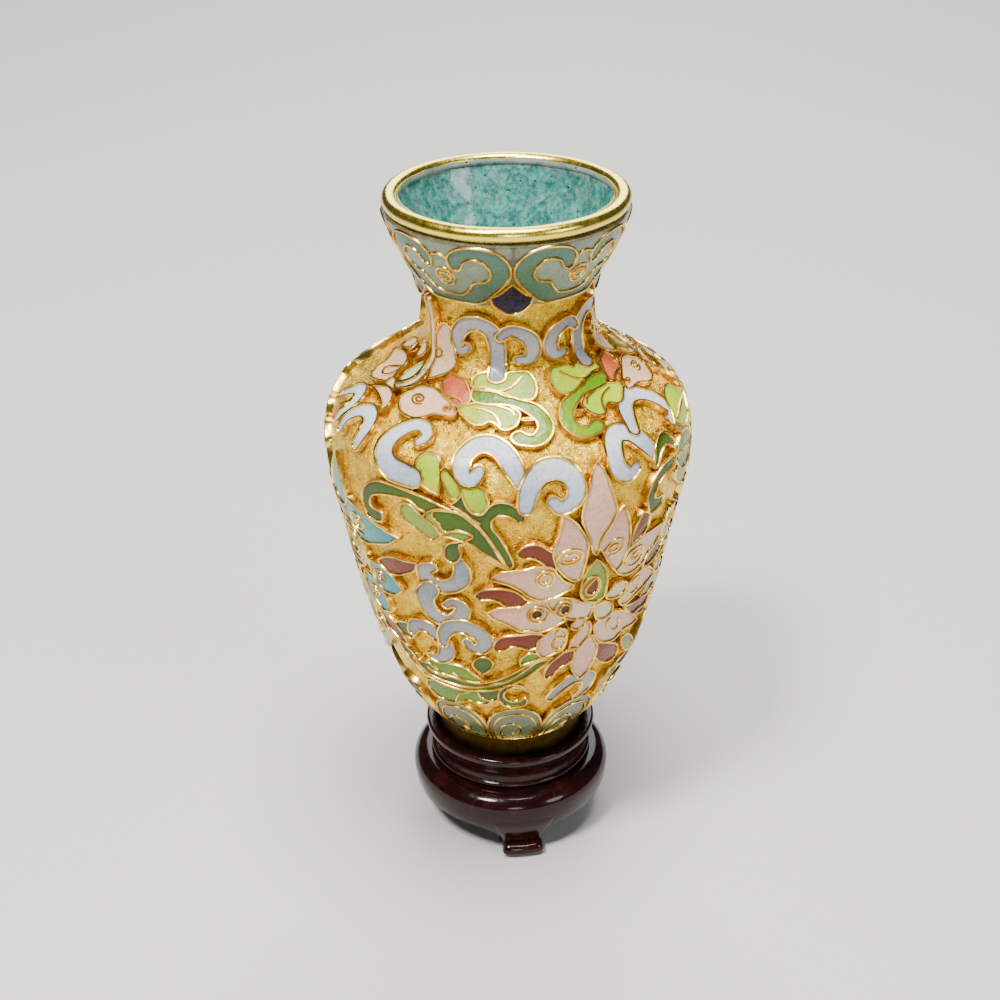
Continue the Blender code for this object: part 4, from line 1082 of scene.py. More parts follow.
def enamel(name, colour, cloud):
    """Fired enamel: clouds of a second colour, grains, small dark pinholes and a dirty rim."""
    paint = Paint("enamel_" + name, colour, ENAMEL_GLOSS)
    clouds = paint.maths("MULTIPLY", paint.noise(1.5, 4.0, 0.6, 0.6), 0.55)
    clouds = paint.maths("ADD", clouds, paint.maths("MULTIPLY", paint.attribute("shade"), 0.7))
    base = paint.mix(paint.spread(clouds, 0.38, 0.86), colour, cloud)
    grains = paint.spread(paint.noise(0.32, 3.0, 0.7), 0.25, 0.75)
    base = paint.mix(0.32, base, paint.ramp(grains, (0.0, darker(colour, 0.45)), (0.55, colour),
                                            (1.0, darker(cloud, 1.3))))
    pits = paint.spread(paint.cells(0.62), 0.06, 0.13)
    base = paint.mix(pits, darker(colour, 0.28), base)
    patchy = paint.spread(paint.noise(0.7, 4.0, 0.7), 0.3, 0.7, -0.2, 0.35)
    clean = paint.maths("ADD", paint.attribute("rim"), patchy)
    base = paint.mix(paint.spread(clean, 0.0, 0.75), blend_of(darker(colour, 0.4), RIM_DIRT, 0.45), base)
    paint.plug("Base Color", base)
    paint.plug("Roughness", paint.spread(paint.noise(0.8, 3.0), 0.3, 0.75, ENAMEL_GLOSS * 0.6,
                                         ENAMEL_GLOSS * 2.4))
    level = paint.bump(paint.noise(1.1, 2.0), 0.2, 0.8)
    paint.plug("Normal", paint.bump(pits, 0.03, 0.7, level))
    paint.set("Specular IOR Level", 0.28)
    paint.set("Coat Weight", 0.06)
    paint.set("Coat Roughness", 0.06)
    return paint.material


def gilt_ground(dark, middle, bright):
    """Pitted gilding, with painted shade beside the raised work and near the foot, and bright on its high
    spots.
    """
    paint = Paint("gilt_ground", middle, 0.3, 1.0)
    patches = paint.spread(paint.noise(1.3, 6.0, 0.72), 0.32, 0.66)
    gold = paint.ramp(patches, (0.0, blend_of(middle, dark, 0.5)), (0.4, middle), (1.0, bright))
    pits = paint.spread(paint.cells(0.36), 0.05, 0.42)
    gold = paint.mix(pits, blend_of(middle, dark, 0.35), gold)
    # Painted shade: the ground is darkened beside the raised work and towards the foot, broken into patches
    # by noise.
    dirt_and_shade = paint.maths("MULTIPLY", paint.attribute("grime"),
                       paint.spread(paint.noise(0.9, 4.0, 0.7), 0.3, 0.6, 0.35, 1.0))
    gold = paint.mix(dirt_and_shade, gold, darker(dark, 0.22))
    paint.plug("Base Color", gold)
    paint.plug("Roughness", paint.spread(paint.noise(0.6, 4.0, 0.7), 0.3, 0.7, 0.18, 0.42))
    level = paint.bump(paint.noise(0.9, 5.0, 0.72, 0.6), 0.42, 1.0)
    paint.plug("Normal", paint.bump(pits, 0.08, 1.0, level))
    return paint.material


def gilt_wire(middle, bright):
    """Polished wire, dull and brown in places where the gilding has worn."""
    paint = Paint("gilt_wire", middle, 0.22, 1.0)
    worn = paint.spread(paint.noise(2.2, 4.0, 0.65), 0.36, 0.62)
    paint.plug("Base Color", paint.ramp(worn, (0.0, blend_of(middle, WORN_WIRE, 0.6)), (0.4, middle),
                                        (1.0, bright)))
    paint.plug("Roughness", paint.spread(worn, 0.0, 1.0, 0.38, 0.16))
    paint.plug("Normal", paint.bump(paint.noise(0.3, 2.0), 0.02, 0.6))
    return paint.material


def gilt_ring(name, dark, middle, bright, gloss):
    """A rolled gilt ring with fine dents, and brown where it has worn."""
    paint = Paint(name, middle, gloss, 1.0)
    worn = paint.spread(paint.noise(2.6, 6.0, 0.7, 0.8), 0.3, 0.66)
    gold = paint.ramp(worn, (0.0, blend_of(dark, middle, 0.5)), (0.3, middle), (1.0, bright))
    spots = paint.spread(paint.cells(1.9), 0.04, 0.1)
    gold = paint.mix(spots, darker(dark, 0.7), gold)
    paint.plug("Base Color", gold)
    paint.plug("Roughness", paint.spread(paint.noise(0.9, 5.0, 0.7), 0.3, 0.7, gloss, 2.1 * gloss))
    level = paint.bump(paint.noise(2.4, 3.0), 0.10, 0.4)
    paint.plug("Normal", paint.bump(paint.noise(0.3, 2.0, 0.5), 0.008, 0.5, level))
    return paint.material


def inner_enamel(deep, pale, speck):
    """Mottled enamel inside the mouth, with dark specks and bubbles and a pale edge of painted sheen, broken
    into patches.
    """
    paint = Paint("inner_enamel", deep, 0.2)
    mottles = paint.spread(paint.noise(2.1, 5.0, 0.65, 0.9), 0.34, 0.66)
    base = paint.ramp(mottles, (0.0, darker(deep, 0.7)), (0.4, deep), (1.0, pale))
    streaks = paint.spread(paint.noise(0.5, 4.0, 0.7), 0.42, 0.7)
    base = paint.mix(paint.maths("MULTIPLY", streaks, 0.4), base, blend_of(pale, WHITE, 0.3))
    # Painted sheen: the lining turns pale in patches towards its top edge, carried by the 'worn' values.
    patchy = paint.spread(paint.noise(1.4, 5.0, 0.75), 0.2, 0.8, -0.5, 0.5)
    worn = paint.maths("ADD", paint.attribute("worn"), patchy)
    base = paint.mix(paint.spread(worn, 0.35, 0.8, 0.0, 0.75), base, blend_of(pale, LINING_SHEEN, 0.8))
    specks = paint.spread(paint.cells(1.05), 0.07, 0.15)
    base = paint.mix(specks, speck, base)
    bubbles = paint.spread(paint.cells(0.46), 0.07, 0.16)
    base = paint.mix(bubbles, darker(deep, 0.4), base)
    paint.plug("Base Color", base)
    paint.plug("Roughness", paint.spread(paint.noise(1.0, 3.0), 0.3, 0.7, 0.1, 0.34))
    level = paint.bump(paint.noise(1.6, 3.0), 0.14, 0.6)
    paint.plug("Normal", paint.bump(specks, 0.05, 0.8, level))
    paint.set("Coat Weight", 0.4)
    paint.set("Coat Roughness", 0.05)
    return paint.material


def lacquer(dark, red):
    """Dark lacquer over turned wood: faint grain, redder where it is thin, and brush marks."""
    paint = Paint("lacquered_wood", dark, 0.12)
    grain = paint.spread(paint.noise(3.4, 6.0, 0.65, 1.6), 0.34, 0.68)
    base = paint.ramp(grain, (0.0, darker(dark, 0.5)), (0.5, dark), (1.0, red))
    fibres = paint.spread(paint.noise(0.5, 5.0, 0.75), 0.3, 0.75)
    base = paint.mix(paint.maths("MULTIPLY", fibres, 0.35), base, red)
    paint.plug("Base Color", base)
    paint.plug("Roughness", paint.spread(paint.noise(1.1, 4.0, 0.7), 0.3, 0.75, 0.07, 0.3))
    level = paint.bump(paint.noise(1.5, 4.0, 0.6), 0.09, 0.45)
    paint.plug("Normal", paint.bump(paint.noise(0.3, 3.0), 0.012, 0.5, level))
    paint.set("Specular IOR Level", 0.12)
    paint.set("Coat Weight", 0.3)
    paint.set("Coat Roughness", 0.04)
    return paint.material


def turned_shell(rows, columns):
    """Rings of points turned from (radius, height) rows in mm."""
    angles = np.linspace(0.0, 2 * math.pi, columns, endpoint=False)
    rings = [np.column_stack((r * np.sin(angles), -r * np.cos(angles), np.full(columns, z)))
             for r, z in rows]
    return np.vstack(rings) * MM


def shell_faces(rows, columns, closed=True):
    """Faces between rows of points. The rows climb the outside, then come down the inside."""
    faces = []
    for i in range(rows if closed else rows - 1):
        j = (i + 1) % rows
        for k in range(columns):
            n = (k + 1) % columns
            faces.append((i * columns + k, i * columns + n, j * columns + n, j * columns + k))
    return faces


def add_capped(sheet, grid, columns):
    """Adds rows of points as a skin, closed at both ends by a fan to the axis."""
    rows = len(grid) // columns
    ends = [(0.0, 0.0, grid[0][2]), (0.0, 0.0, grid[-1][2])]
    faces = shell_faces(rows, columns, closed=False)
    last = (rows - 1) * columns
    faces += [((k + 1) % columns, k, len(grid)) for k in range(columns)]
    faces += [(last + k, last + (k + 1) % columns, len(grid) + 1) for k in range(columns)]
    sheet.add(np.vstack((grid, ends)), faces)


def roughened(points, size, depth, seed):
    """Points moved by smooth noise, as on hand-finished work. Size and depth are in mm."""
    shift = Vector((seed, seed * 0.7, -seed))
    moved = []
    for point in points:
        at = Vector(point) / (size * MM) + shift
        away = Vector((noise.noise(at), noise.noise(at + Vector((7.3, 1.1, 2.9))),
                       noise.noise(at + Vector((-3.7, 5.9, 8.3)))))
        moved.append(Vector(point) + away * depth * MM)
    return np.array([tuple(p) for p in moved])


def add_values(piece, name, values):
    """Stores one number for each point of a piece, for its material to read."""
    attribute = piece.data.attributes.new(name, "FLOAT", "POINT")
    attribute.data.foreach_set("value", np.asarray(values, np.float32))


def finish_piece(piece, slot, *stands_for):
    """Makes a finished piece ride on the root body, and hides the parts it stands for. The slot is not used.
    """
    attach(piece, "root")
    if stands_for:
        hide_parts(*stands_for)


def enamel_sheet(group, finishes, sizes):
    """The enamel of one group of cells, the finishes used in it, and each point's shade and rim."""
    sheet, used, shades, rims = Sheet(), [], [], []
    for cell, cuts in pattern():
        if cell.group != group:
            continue
        filled = fill_cell(cell, cuts, sizes.enamel_height, sizes.enamel_crown)
        if filled is None:
            continue
        places, proud, shade, rim, triangles = filled
        shades.extend((shade, shade))
        rims.extend((rim, rim))
        if cell.colour not in used:
            used.append(cell.colour)
        finish = used.index(cell.colour)
        top = on_body(places[:, 0], places[:, 1], proud)
        low = on_body(places[:, 0], places[:, 1], ROOT)
        count = len(top)
        walls = [(b, a, a + count, b + count) for a, b in skirt(places, triangles)]
        sheet.add(np.vstack((top, low)), [tuple(t) for t in triangles] + walls, finish)
    return sheet, [finishes[name] for name in used], np.concatenate(shades), np.concatenate(rims)


def wire_sheet(group, sizes):
    """The wires of one group of cells."""
    sheet = Sheet()
    for cell, cuts in pattern():
        if cell.group != group:
            continue
        for places, closed, share in wires_of(cell, cuts):
            points, faces = sweep(places, closed, share * sizes.wire_width, sizes.wire_height)
            sheet.add(points, faces)
    return sheet


def build_raised_work(sizes, colours):
    """The enamel cells and wires of each group of the pattern."""
    finishes = {name: enamel(name, getattr(colours, name), getattr(colours, name + "_cloud"))
                for name in ENAMELS}
    wire = gilt_wire(colours.gold, colours.gold_bright)
    for group in dict.fromkeys(group for group, _, _ in LAYOUT):
        sheet, used, shades, rims = enamel_sheet(group, finishes, sizes)
        cells = sheet.to_object(group + "_enamel", used, sharp=50.0)
        add_values(cells, "shade", shades)
        add_values(cells, "rim", rims)
        finish_piece(cells, "enamel")
        wires = wire_sheet(group, sizes).to_object(group + "_wires", [wire], sharp=45.0)
        finish_piece(wires, "gilt_ring")


# The painted shade on the ground, in mm: where it starts beside a wire's middle, how far it reaches
# from there, and how high it reaches above the foot. Then how fast it fades, and how strong it is at the
# foot.
SHADE_START = 0.16
SHADE_REACH = 0.36
SHADED_FOOT = 4.6
SHADE_FADE = 1.2
FOOT_SHADE = 0.85
FOOT_SHADE_FADE = 0.5


def painted_shade_at(points):
    """How much painted shade each point of the ground gets, from its distance to the raised work and to the
    foot.
    """
    lines = [on_body(places[:, 0], places[:, 1], 0.0)
             for cell, cuts in pattern() for places, _, _ in wires_of(cell, cuts)]
    wire_points = np.vstack(lines)
    tree = KDTree(len(wire_points))
    for index, point in enumerate(wire_points):
        tree.insert(point, index)
    tree.balance()
    gaps = np.array([tree.find(point)[2] for point in points]) / MM
    beside = np.clip(1.0 - (gaps - SHADE_START) / SHADE_REACH, 0.0, 1.0) ** SHADE_FADE
    low = np.clip(1.0 - (points[:, 2] - BODY_LOW.z) / MM / SHADED_FOOT, 0.0, 1.0)
    return np.maximum(beside, FOOT_SHADE * low ** FOOT_SHADE_FADE)


# The body's wall in mm, and how deep in it the ground and the lining meet.
WALL = 1.1
MID_WALL = 0.55
# The ground's points round and up, the rows its plain back steps over, and how deep its ripples are as
# a share of its waves.
GROUND_COLUMNS = 360
GROUND_ROWS = 205
GROUND_BACK_STEP = 6
RIPPLE_SHARE = 0.6


def build_ground(sizes, colours):
    """The gilt ground of the body, hammered and pitted, with painted shade beside the raised work and near
    the foot.
    """
    runs = np.linspace(0.0, RUNS[-1], GROUND_ROWS)
    degrees = np.linspace(0.0, 360.0, GROUND_COLUMNS, endpoint=False)
    outer = np.vstack([on_body(degrees, run, 0.0) for run in runs])
    waves = roughened(outer, size=1.7, depth=sizes.ground_waves, seed=3.1)
    waves = roughened(waves, size=0.62, depth=RIPPLE_SHARE * sizes.ground_waves, seed=11.4)
    backs = [on_body(degrees, run, -MID_WALL) for run in runs[::-1][::GROUND_BACK_STEP]]
    points = np.vstack([waves] + backs)
    sheet = Sheet()
    sheet.add(points, shell_faces(GROUND_ROWS + len(backs), GROUND_COLUMNS))
    finish = gilt_ground(colours.dirt_and_shade, colours.ground, colours.ground_bright)
    ground = sheet.to_object("gilt_ground", [finish], sharp=60.0)
    # The painted shade beside the raised work and at the foot. The plain back points get it in full.
    dirt_and_shade = painted_shade_at(outer)
    add_values(ground, "grime", np.concatenate((dirt_and_shade, np.ones(len(points) - len(dirt_and_shade)))))
    finish_piece(ground, "gilt_ground", "vase_body")


# The lining's points round and up, the rows its plain back steps over, and how deep its waves are as a
# share of the ground's.
LINING_COLUMNS = 180
LINING_ROWS = 110
LINING_BACK_STEP = 4
LINING_WAVES = 1.6
# How far over the base the lining starts and how far under the mouth it ends, in mm along the outline.
LINING_START = WALL + 0.3
LINING_END = 0.02
# The lining's raised edge: its rows' heights over the wall in mm, the share of the wall's radius that it
# stands at, and how far down its painted sheen reaches in mm.
LINING_EDGE = (0.78, 0.72, 0.5, 0.25)
EDGE_SHARE = 0.984
SHEEN_REACH = 1.7


def build_inside(sizes, colours):
    """The mottled enamel that lines the body."""
    degrees = np.linspace(0.0, 360.0, LINING_COLUMNS, endpoint=False)
    runs = np.linspace(LINING_START, RUNS[-1] - LINING_END, LINING_ROWS)
    backs = [on_body(degrees, run, -MID_WALL) for run in runs[::LINING_BACK_STEP]]
    fronts = [on_body(degrees, run, -WALL) for run in runs[::-1]]
    edge = [fronts[0] * (EDGE_SHARE, EDGE_SHARE, 1.0) + (0.0, 0.0, rise * MM) for rise in LINING_EDGE]
    fronts = roughened(np.vstack(edge + fronts), size=2.2, depth=LINING_WAVES * sizes.ground_waves,
                       seed=23.9)
    grid = np.vstack(backs + [fronts])
    sheet = Sheet()
    add_capped(sheet, grid, LINING_COLUMNS)
    finish = inner_enamel(colours.inside, colours.inside_pale, colours.inside_speck)
    lining = sheet.to_object("inside_enamel", [finish], sharp=50.0)
    heights = np.concatenate((grid[:, 2], np.zeros(2)))
    # The 'worn' values give the painted sheen: full at the lining's top, fading out over the sheen's reach.
    add_values(lining, "worn", np.clip(1.0 + (heights - fronts[:, 2].max()) / MM / SHEEN_REACH, 0.0, 1.0))
    finish_piece(lining, "interior_enamel", "vase_body")


ROUNDING_POINTS = 7


def rounded_box(low, high, radius):
    """The rounded section of a ring between two (radius, height) corners, going round upwards outside."""
    (inner, bottom), (outer, top) = low, high
    corners = ((outer - radius, bottom + radius, -90), (outer - radius, top - radius, 0),
               (inner + radius, top - radius, 90), (inner + radius, bottom + radius, 180))
    section = []
    for x, z, start in corners:
        for angle in np.radians(np.linspace(start, start + 90, ROUNDING_POINTS)):
            section.append((x + radius * math.cos(angle), z + radius * math.sin(angle)))
    return section


# The lip ring's width and rounding in mm, how deep its waves are as a share of the foot ring's, and how
# rough it is.
LIP_WIDTH = 1.6
LIP_ROUNDING = 0.74
LIP_WAVES = 0.9
LIP_GLOSS = 0.16
# The foot ring's width, rounding and sink into the stand in mm, and how rough it is.
FOOT_WIDTH = 1.6
FOOT_ROUNDING = 0.3
FOOT_SINK = 0.25
FOOT_GLOSS = 0.4
# How far both rings reach into their joint with the body, in mm.
JOINT_REACH = 0.32
RING_COLUMNS = 240


def turned_ring(section, size, depth, seed):
    """A ring turned from a section, with waves whose size and depth are in mm."""
    points = roughened(turned_shell(section, RING_COLUMNS), size, depth, seed)
    sheet = Sheet()
    sheet.add(points, shell_faces(len(section), RING_COLUMNS))
    return sheet


def build_lip_ring(sizes, colours):
    """The rolled gilt ring round the mouth."""
    outer = LIP_HIGH.x / MM
    low = (outer - LIP_WIDTH, LIP_LOW.z / MM - JOINT_REACH)
    high = (outer, LIP_HIGH.z / MM)
    sheet = turned_ring(rounded_box(low, high, LIP_ROUNDING), size=5.0, depth=LIP_WAVES * sizes.ring_waves,
                        seed=4.2)
    finish = gilt_ring("gilt_lip", colours.ground, colours.ground_bright, colours.gold_bright, LIP_GLOSS)
    finish_piece(sheet.to_object("lip_ring_gilt", [finish], sharp=60.0), "gilt_ring", "lip_ring")


def build_foot_ring(sizes, colours):
    """The worn gilt ring under the body, darkened all over with painted shade from the stand's recess it
    sits in.
    """
    outer = FOOT_HIGH.x / MM
    low = (outer - FOOT_WIDTH, FOOT_LOW.z / MM - FOOT_SINK)
    high = (outer, FOOT_HIGH.z / MM + JOINT_REACH)
    sheet = turned_ring(rounded_box(low, high, FOOT_ROUNDING), size=4.0, depth=sizes.ring_waves, seed=8.8)
    # Painted shade: the ring's gilt colours are darkened to the shade inside the stand's recess.
    finish = gilt_ring("gilt_foot", darker(colours.dirt_and_shade, 0.4), darker(colours.gold, 0.05),
                       darker(colours.gold, 0.12), FOOT_GLOSS)
    finish_piece(sheet.to_object("foot_ring_gilt", [finish], sharp=60.0), "gilt_ring", "foot_ring")


# The stand's turned outline, as (radius, height) in mm: out over the recess, down the collar to the
# bead, and from there over the bulge to the apron's edge.
RECESS = ((0.6, 11.6), (4.5, 11.6), (8.3, 11.6), (8.7, 11.72), (8.8, 12.05), (8.8, 12.7))
COLLAR = ((8.8, 12.7), (8.92, 12.93), (9.15, 13.0), (9.75, 13.0), (10.02, 12.92), (10.1, 12.68),
          (10.02, 12.15), (9.7, 11.5), (9.42, 10.8), (9.3, 10.1), (9.3, 9.4))
BEAD = ((9.3, 9.34), (9.52, 9.24), (9.62, 9.02), (9.52, 8.8), (9.3, 8.7), (9.05, 8.64), (8.92, 8.52),
        (8.95, 8.4))
BULGE = ((9.05, 8.36), (9.6, 8.44), (10.3, 8.38), (10.9, 8.12), (11.35, 7.75), (11.66, 7.3),
         (11.8, 6.8), (11.8, 6.2), (11.72, 5.4), (11.55, 4.6), (11.3, 3.8), (11.0, 3.0), (10.7, 2.2),
         (10.5, 1.6))
BULGE_TOP_ROWS = 22
APRON_ROWS = 24
# The arches in the apron, in mm: the radius they are drawn at, half their width, the height of their
# top, the reach of their rounded corners, the apron's height at the feet, and its rolled edge's radius.
APRON_RADIUS = 11.0
ARCH_HALF = 8.0
ARCH_TOP = 4.0
ARCH_CORNER = 3.2
APRON_FOOT = 1.6
APRON_LIP = 0.24
APRON_LIP_POINTS = 9
# The hollow under the stand, in mm: its ceiling and radius, the bend of its wall, the places of its
# corner from where they meet, and the radii left on the way to the middle.
CEILING = 4.9
HOLLOW_REACH = 8.2
HOLLOW_BEND = (0.3, 0.1)
HOLLOW_CORNER = ((0.1, -0.25), (-0.3, 0.0))
HOLLOW_MIDDLE = (4.0, 0.6)
STAND_COLUMNS = 240
FEET = 3
# How far the front foot stands round to the right, in degrees.
FEET_TURN = 7.0


def arch_height(angle):
    """How high the apron's edge is at an angle, in degrees, from the middle of an arch."""
    side = abs(APRON_RADIUS * math.sin(math.radians(angle)))
    if side >= ARCH_HALF:
        return APRON_FOOT
    share = max(side - (ARCH_HALF - ARCH_CORNER), 0.0) / ARCH_CORNER
    return APRON_FOOT + (ARCH_TOP - APRON_FOOT) * math.sqrt(1.0 - share ** 2)


def stand_section(degrees):
    """The stand's section at one angle, from the middle of its recess round to its hollow."""
    pitch = 360.0 / FEET
    edge = arch_height((degrees - FEET_TURN) % pitch - pitch / 2)
    bulge = spline(BULGE, spacing=0.12)
    widest = int(np.argmax(bulge[:, 0]))
    upper = bulge[np.linspace(0, widest, BULGE_TOP_ROWS).astype(int)]
    heights = np.linspace(bulge[widest, 1], edge + APRON_LIP, APRON_ROWS + 1)[1:]
    lower = np.column_stack((np.interp(-heights, -bulge[widest:, 1], bulge[widest:, 0]), heights))
    turns = np.radians(np.linspace(0.0, 180.0, APRON_LIP_POINTS))[1:]
    middle = lower[-1, 0] - APRON_LIP
    roll = np.column_stack((middle + APRON_LIP * np.cos(turns), heights[-1] - APRON_LIP * np.sin(turns)))
    wall = (roll[-1] + (HOLLOW_REACH, CEILING)) / 2 + HOLLOW_BEND
    corner = [(HOLLOW_REACH + out, CEILING + up) for out, up in HOLLOW_CORNER]
    ceiling = [(radius, CEILING) for radius in HOLLOW_MIDDLE]
    return np.vstack((RECESS, spline(COLLAR, spacing=0.22), spline(BEAD, spacing=0.09), upper, lower, roll,
                      wall, corner, ceiling))


# A foot's side view, as (radius, height) in mm: down its front, round the toe and up its back. The toe
# turns between two angles in degrees.
SCROLL_FRONT = ((11.6, 6.0), (11.74, 5.2), (11.68, 4.6), (11.5, 4.0), (11.27, 3.3), (11.08, 2.7),
                (10.94, 2.2), (10.85, 1.85))
TOE_MIDDLE = (11.1, 0.82)
TOE_RADIUS = 0.82
TOE_START = 112.0
TOE_END = -90.0
TOE_POINTS = 16
SCROLL_BACK = ((9.5, 0.0), (9.05, 0.12), (8.85, 0.5), (8.75, 1.2), (8.75, 3.0), (9.0, 4.9))
# Half of a foot's width at each height, in mm.
SCROLL_HALF_WIDTHS = ((0.0, 2.35), (0.8, 2.5), (1.6, 2.3), (2.4, 2.6), (3.4, 3.3), (4.9, 3.9))
SCROLL_COLUMNS = 25
# How deep a foot's side edges are rounded, in mm, and the share of its half width left unrounded.
SCROLL_EDGE = 0.38
SCROLL_FLAT = 0.72


def foot_side():
    """The closed side view of a foot."""
    turns = np.radians(np.linspace(TOE_START, TOE_END, TOE_POINTS))
    toe = np.column_stack((TOE_MIDDLE[0] + TOE_RADIUS * np.cos(turns),
                           TOE_MIDDLE[1] + TOE_RADIUS * np.sin(turns)))
    return np.vstack((spline(SCROLL_FRONT, spacing=0.2), toe, spline(SCROLL_BACK, spacing=0.3)))


def scroll_feet(sizes):
    """The three feet, each rolled forward into a toe."""
    side = foot_side()
    ahead = np.roll(side, -1, axis=0) - np.roll(side, 1, axis=0)
    ahead /= np.hypot(*ahead.T)[:, None]
    inward = np.column_stack((ahead[:, 1], -ahead[:, 0]))
    half = np.interp(side[:, 1], *np.array(SCROLL_HALF_WIDTHS).T)
    rings = []
    for across in np.sin(np.radians(np.linspace(-90.0, 90.0, SCROLL_COLUMNS))):
        share = max(abs(across) - SCROLL_FLAT, 0.0) / (1.0 - SCROLL_FLAT)
        edge = side + inward * SCROLL_EDGE * (1.0 - math.sqrt(max(1.0 - share ** 2, 0.0)))
        x = across * half
        rings.append(np.column_stack((x, -np.sqrt(edge[:, 0] ** 2 - x ** 2), edge[:, 1])))
    points = np.vstack(rings) * MM
    count = len(side)
    faces = [(i * count + k, i * count + (k + 1) % count, (i + 1) * count + (k + 1) % count,
              (i + 1) * count + k) for i in range(SCROLL_COLUMNS - 1) for k in range(count)]
    faces.append(tuple(range(count - 1, -1, -1)))
    faces.append(tuple((SCROLL_COLUMNS - 1) * count + k for k in range(count)))
    sheet = Sheet()
    for number in range(FEET):
        turn = math.radians(FEET_TURN + 360.0 * number / FEET)
        spin = np.array(((math.cos(turn), math.sin(turn), 0.0), (-math.sin(turn), math.cos(turn), 0.0),
                         (0.0, 0.0, 1.0)))
        foot = roughened(points @ spin, size=2.4, depth=sizes.stand_waves, seed=31.0 + number)
        sheet.add(foot, faces)
    return sheet


def build_stand(sizes, colours):
    """The turned stand, with an arch cut between each two feet."""
    angles = np.linspace(0.0, 360.0, STAND_COLUMNS, endpoint=False)
    sections = np.stack([stand_section(angle) for angle in angles], axis=1)[::-1]
    turn = np.radians(angles)
    grid = np.stack((sections[..., 0] * np.sin(turn), -sections[..., 0] * np.cos(turn), sections[..., 1]),
                    axis=2).reshape(-1, 3) * MM
    grid = roughened(grid, size=6.0, depth=sizes.stand_waves, seed=5.5)
    sheet = Sheet()
    add_capped(sheet, grid, STAND_COLUMNS)
    finish = lacquer(colours.lacquer, colours.lacquer_red)
    finish_piece(sheet.to_object("turned_stand", [finish], sharp=60.0), "lacquered_wood", "display_stand")
    feet = scroll_feet(sizes).to_object("scroll_feet", [finish], sharp=60.0)
    finish_piece(feet, "lacquered_wood", "display_stand")


# The camera: its place in metres, its tilt and roll in radians, its lens and film in mm, and how near it
# sees in metres.
CAMERA_PLACE = (-0.000960, -0.158076, 0.130950)
CAMERA_TILT = math.radians(60.68)
CAMERA_ROLL = -0.010838
CAMERA_LENS = 58.06
CAMERA_FILM = 36.0
CAMERA_NEAR = 0.01
# The floor's reach and its drop under the feet, and the place the lights are aimed at, in metres.
FLOOR_REACH = 1.6
FLOOR_DROP = 0.0001
LIGHT_AIM = Vector((0.0, 0.0, 0.045))
SURROUNDINGS_COLOUR = (0.80, 0.82, 0.85, 1.0)
# Each light: its name, place in metres, size in metres, power in watts, and colour.
LIGHTS = (
    ("key", (-0.24, -0.30, 0.70), 0.16, 18.5, (1.0, 0.98, 0.95)),
    ("fill", (0.50, -0.40, 0.34), 0.24, 2.6, (0.96, 0.98, 1.0)),
    ("back", (0.04, 0.62, 0.46), 0.60, 9.0, (1.0, 1.0, 1.0)),
    ("top", (0.04, -0.06, 0.70), 0.30, 15.0, (1.0, 0.99, 0.96)),
    ("front", (0.05, -0.70, 0.22), 0.20, 1.8, (1.0, 0.99, 0.97)),
)


def build_stage(stage):
    """A pale floor, a plain studio light and the camera."""
    bpy.ops.mesh.primitive_plane_add(size=2 * FLOOR_REACH, location=(0.0, 0.0, -FLOOR_DROP))
    floor = bpy.context.object
    floor.name = "floor"
    paint = Paint("floor", tuple(stage.floor_colour), 0.75)
    floor.data.materials.append(paint.material)
    for name, place, size, power, colour in LIGHTS:
        light = bpy.data.lights.new(name, "AREA")
        light.shape = "DISK"
        light.size = size
        light.energy = power * stage.light
        light.color = colour
        lamp = bpy.data.objects.new(name, light)
        lamp.location = place
        lamp.rotation_euler = (LIGHT_AIM - Vector(place)).to_track_quat("-Z", "Y").to_euler()
        bpy.context.scene.collection.objects.link(lamp)
    world = bpy.data.worlds.new("studio")
    world.use_nodes = True
    background = world.node_tree.nodes["Background"]
    background.inputs["Color"].default_value = SURROUNDINGS_COLOUR
    background.inputs["Strength"].default_value = stage.surroundings
    bpy.context.scene.world = world
    camera = bpy.data.cameras.new("camera")
    camera.sensor_width = CAMERA_FILM
    camera.lens = CAMERA_LENS
    camera.clip_start = CAMERA_NEAR
    viewer = bpy.data.objects.new("camera", camera)
    viewer.matrix_world = (Matrix.Translation(CAMERA_PLACE) @ Matrix.Rotation(CAMERA_TILT, 4, "X")
                           @ Matrix.Rotation(CAMERA_ROLL, 4, "Z"))
    bpy.context.scene.collection.objects.link(viewer)
    bpy.context.scene.camera = viewer


def colour_property(name, description, default):
    """A colour that can be changed in the sidebar."""
    return FloatVectorProperty(name=name, description=description, default=default, size=3, min=0.0,
                               max=1.0, subtype="COLOR")


def length_property(name, description, default, top):
    """A length in mm that can be changed in the sidebar."""
    return FloatProperty(name=name, description=description + ", in millimetres", default=default,
                         min=0.0, max=top, precision=3)


class VaseSizes(bpy.types.PropertyGroup):
    """Fine sizes of the work on the vase."""
    wire_width: length_property("Wire width", "Width of the wires round each cell", 0.30, 0.5)
    wire_height: length_property("Wire height", "How far the wires stand proud of the ground", 0.76, 1.0)
    enamel_height: length_property("Enamel height", "How far the enamel's edge stands proud", 0.58, 0.9)
    enamel_crown: length_property("Enamel crown", "How much a cell's middle rises over its edge", 0.04, 0.3)
    ground_waves: length_property("Ground waves", "Depth of the hammered waves in the ground", 0.05, 0.1)
    ring_waves: length_property("Ring waves", "Depth of the waves in the gilt rings", 0.05, 0.1)
    stand_waves: length_property("Stand waves", "Depth of the waves in the carved stand", 0.05, 0.1)


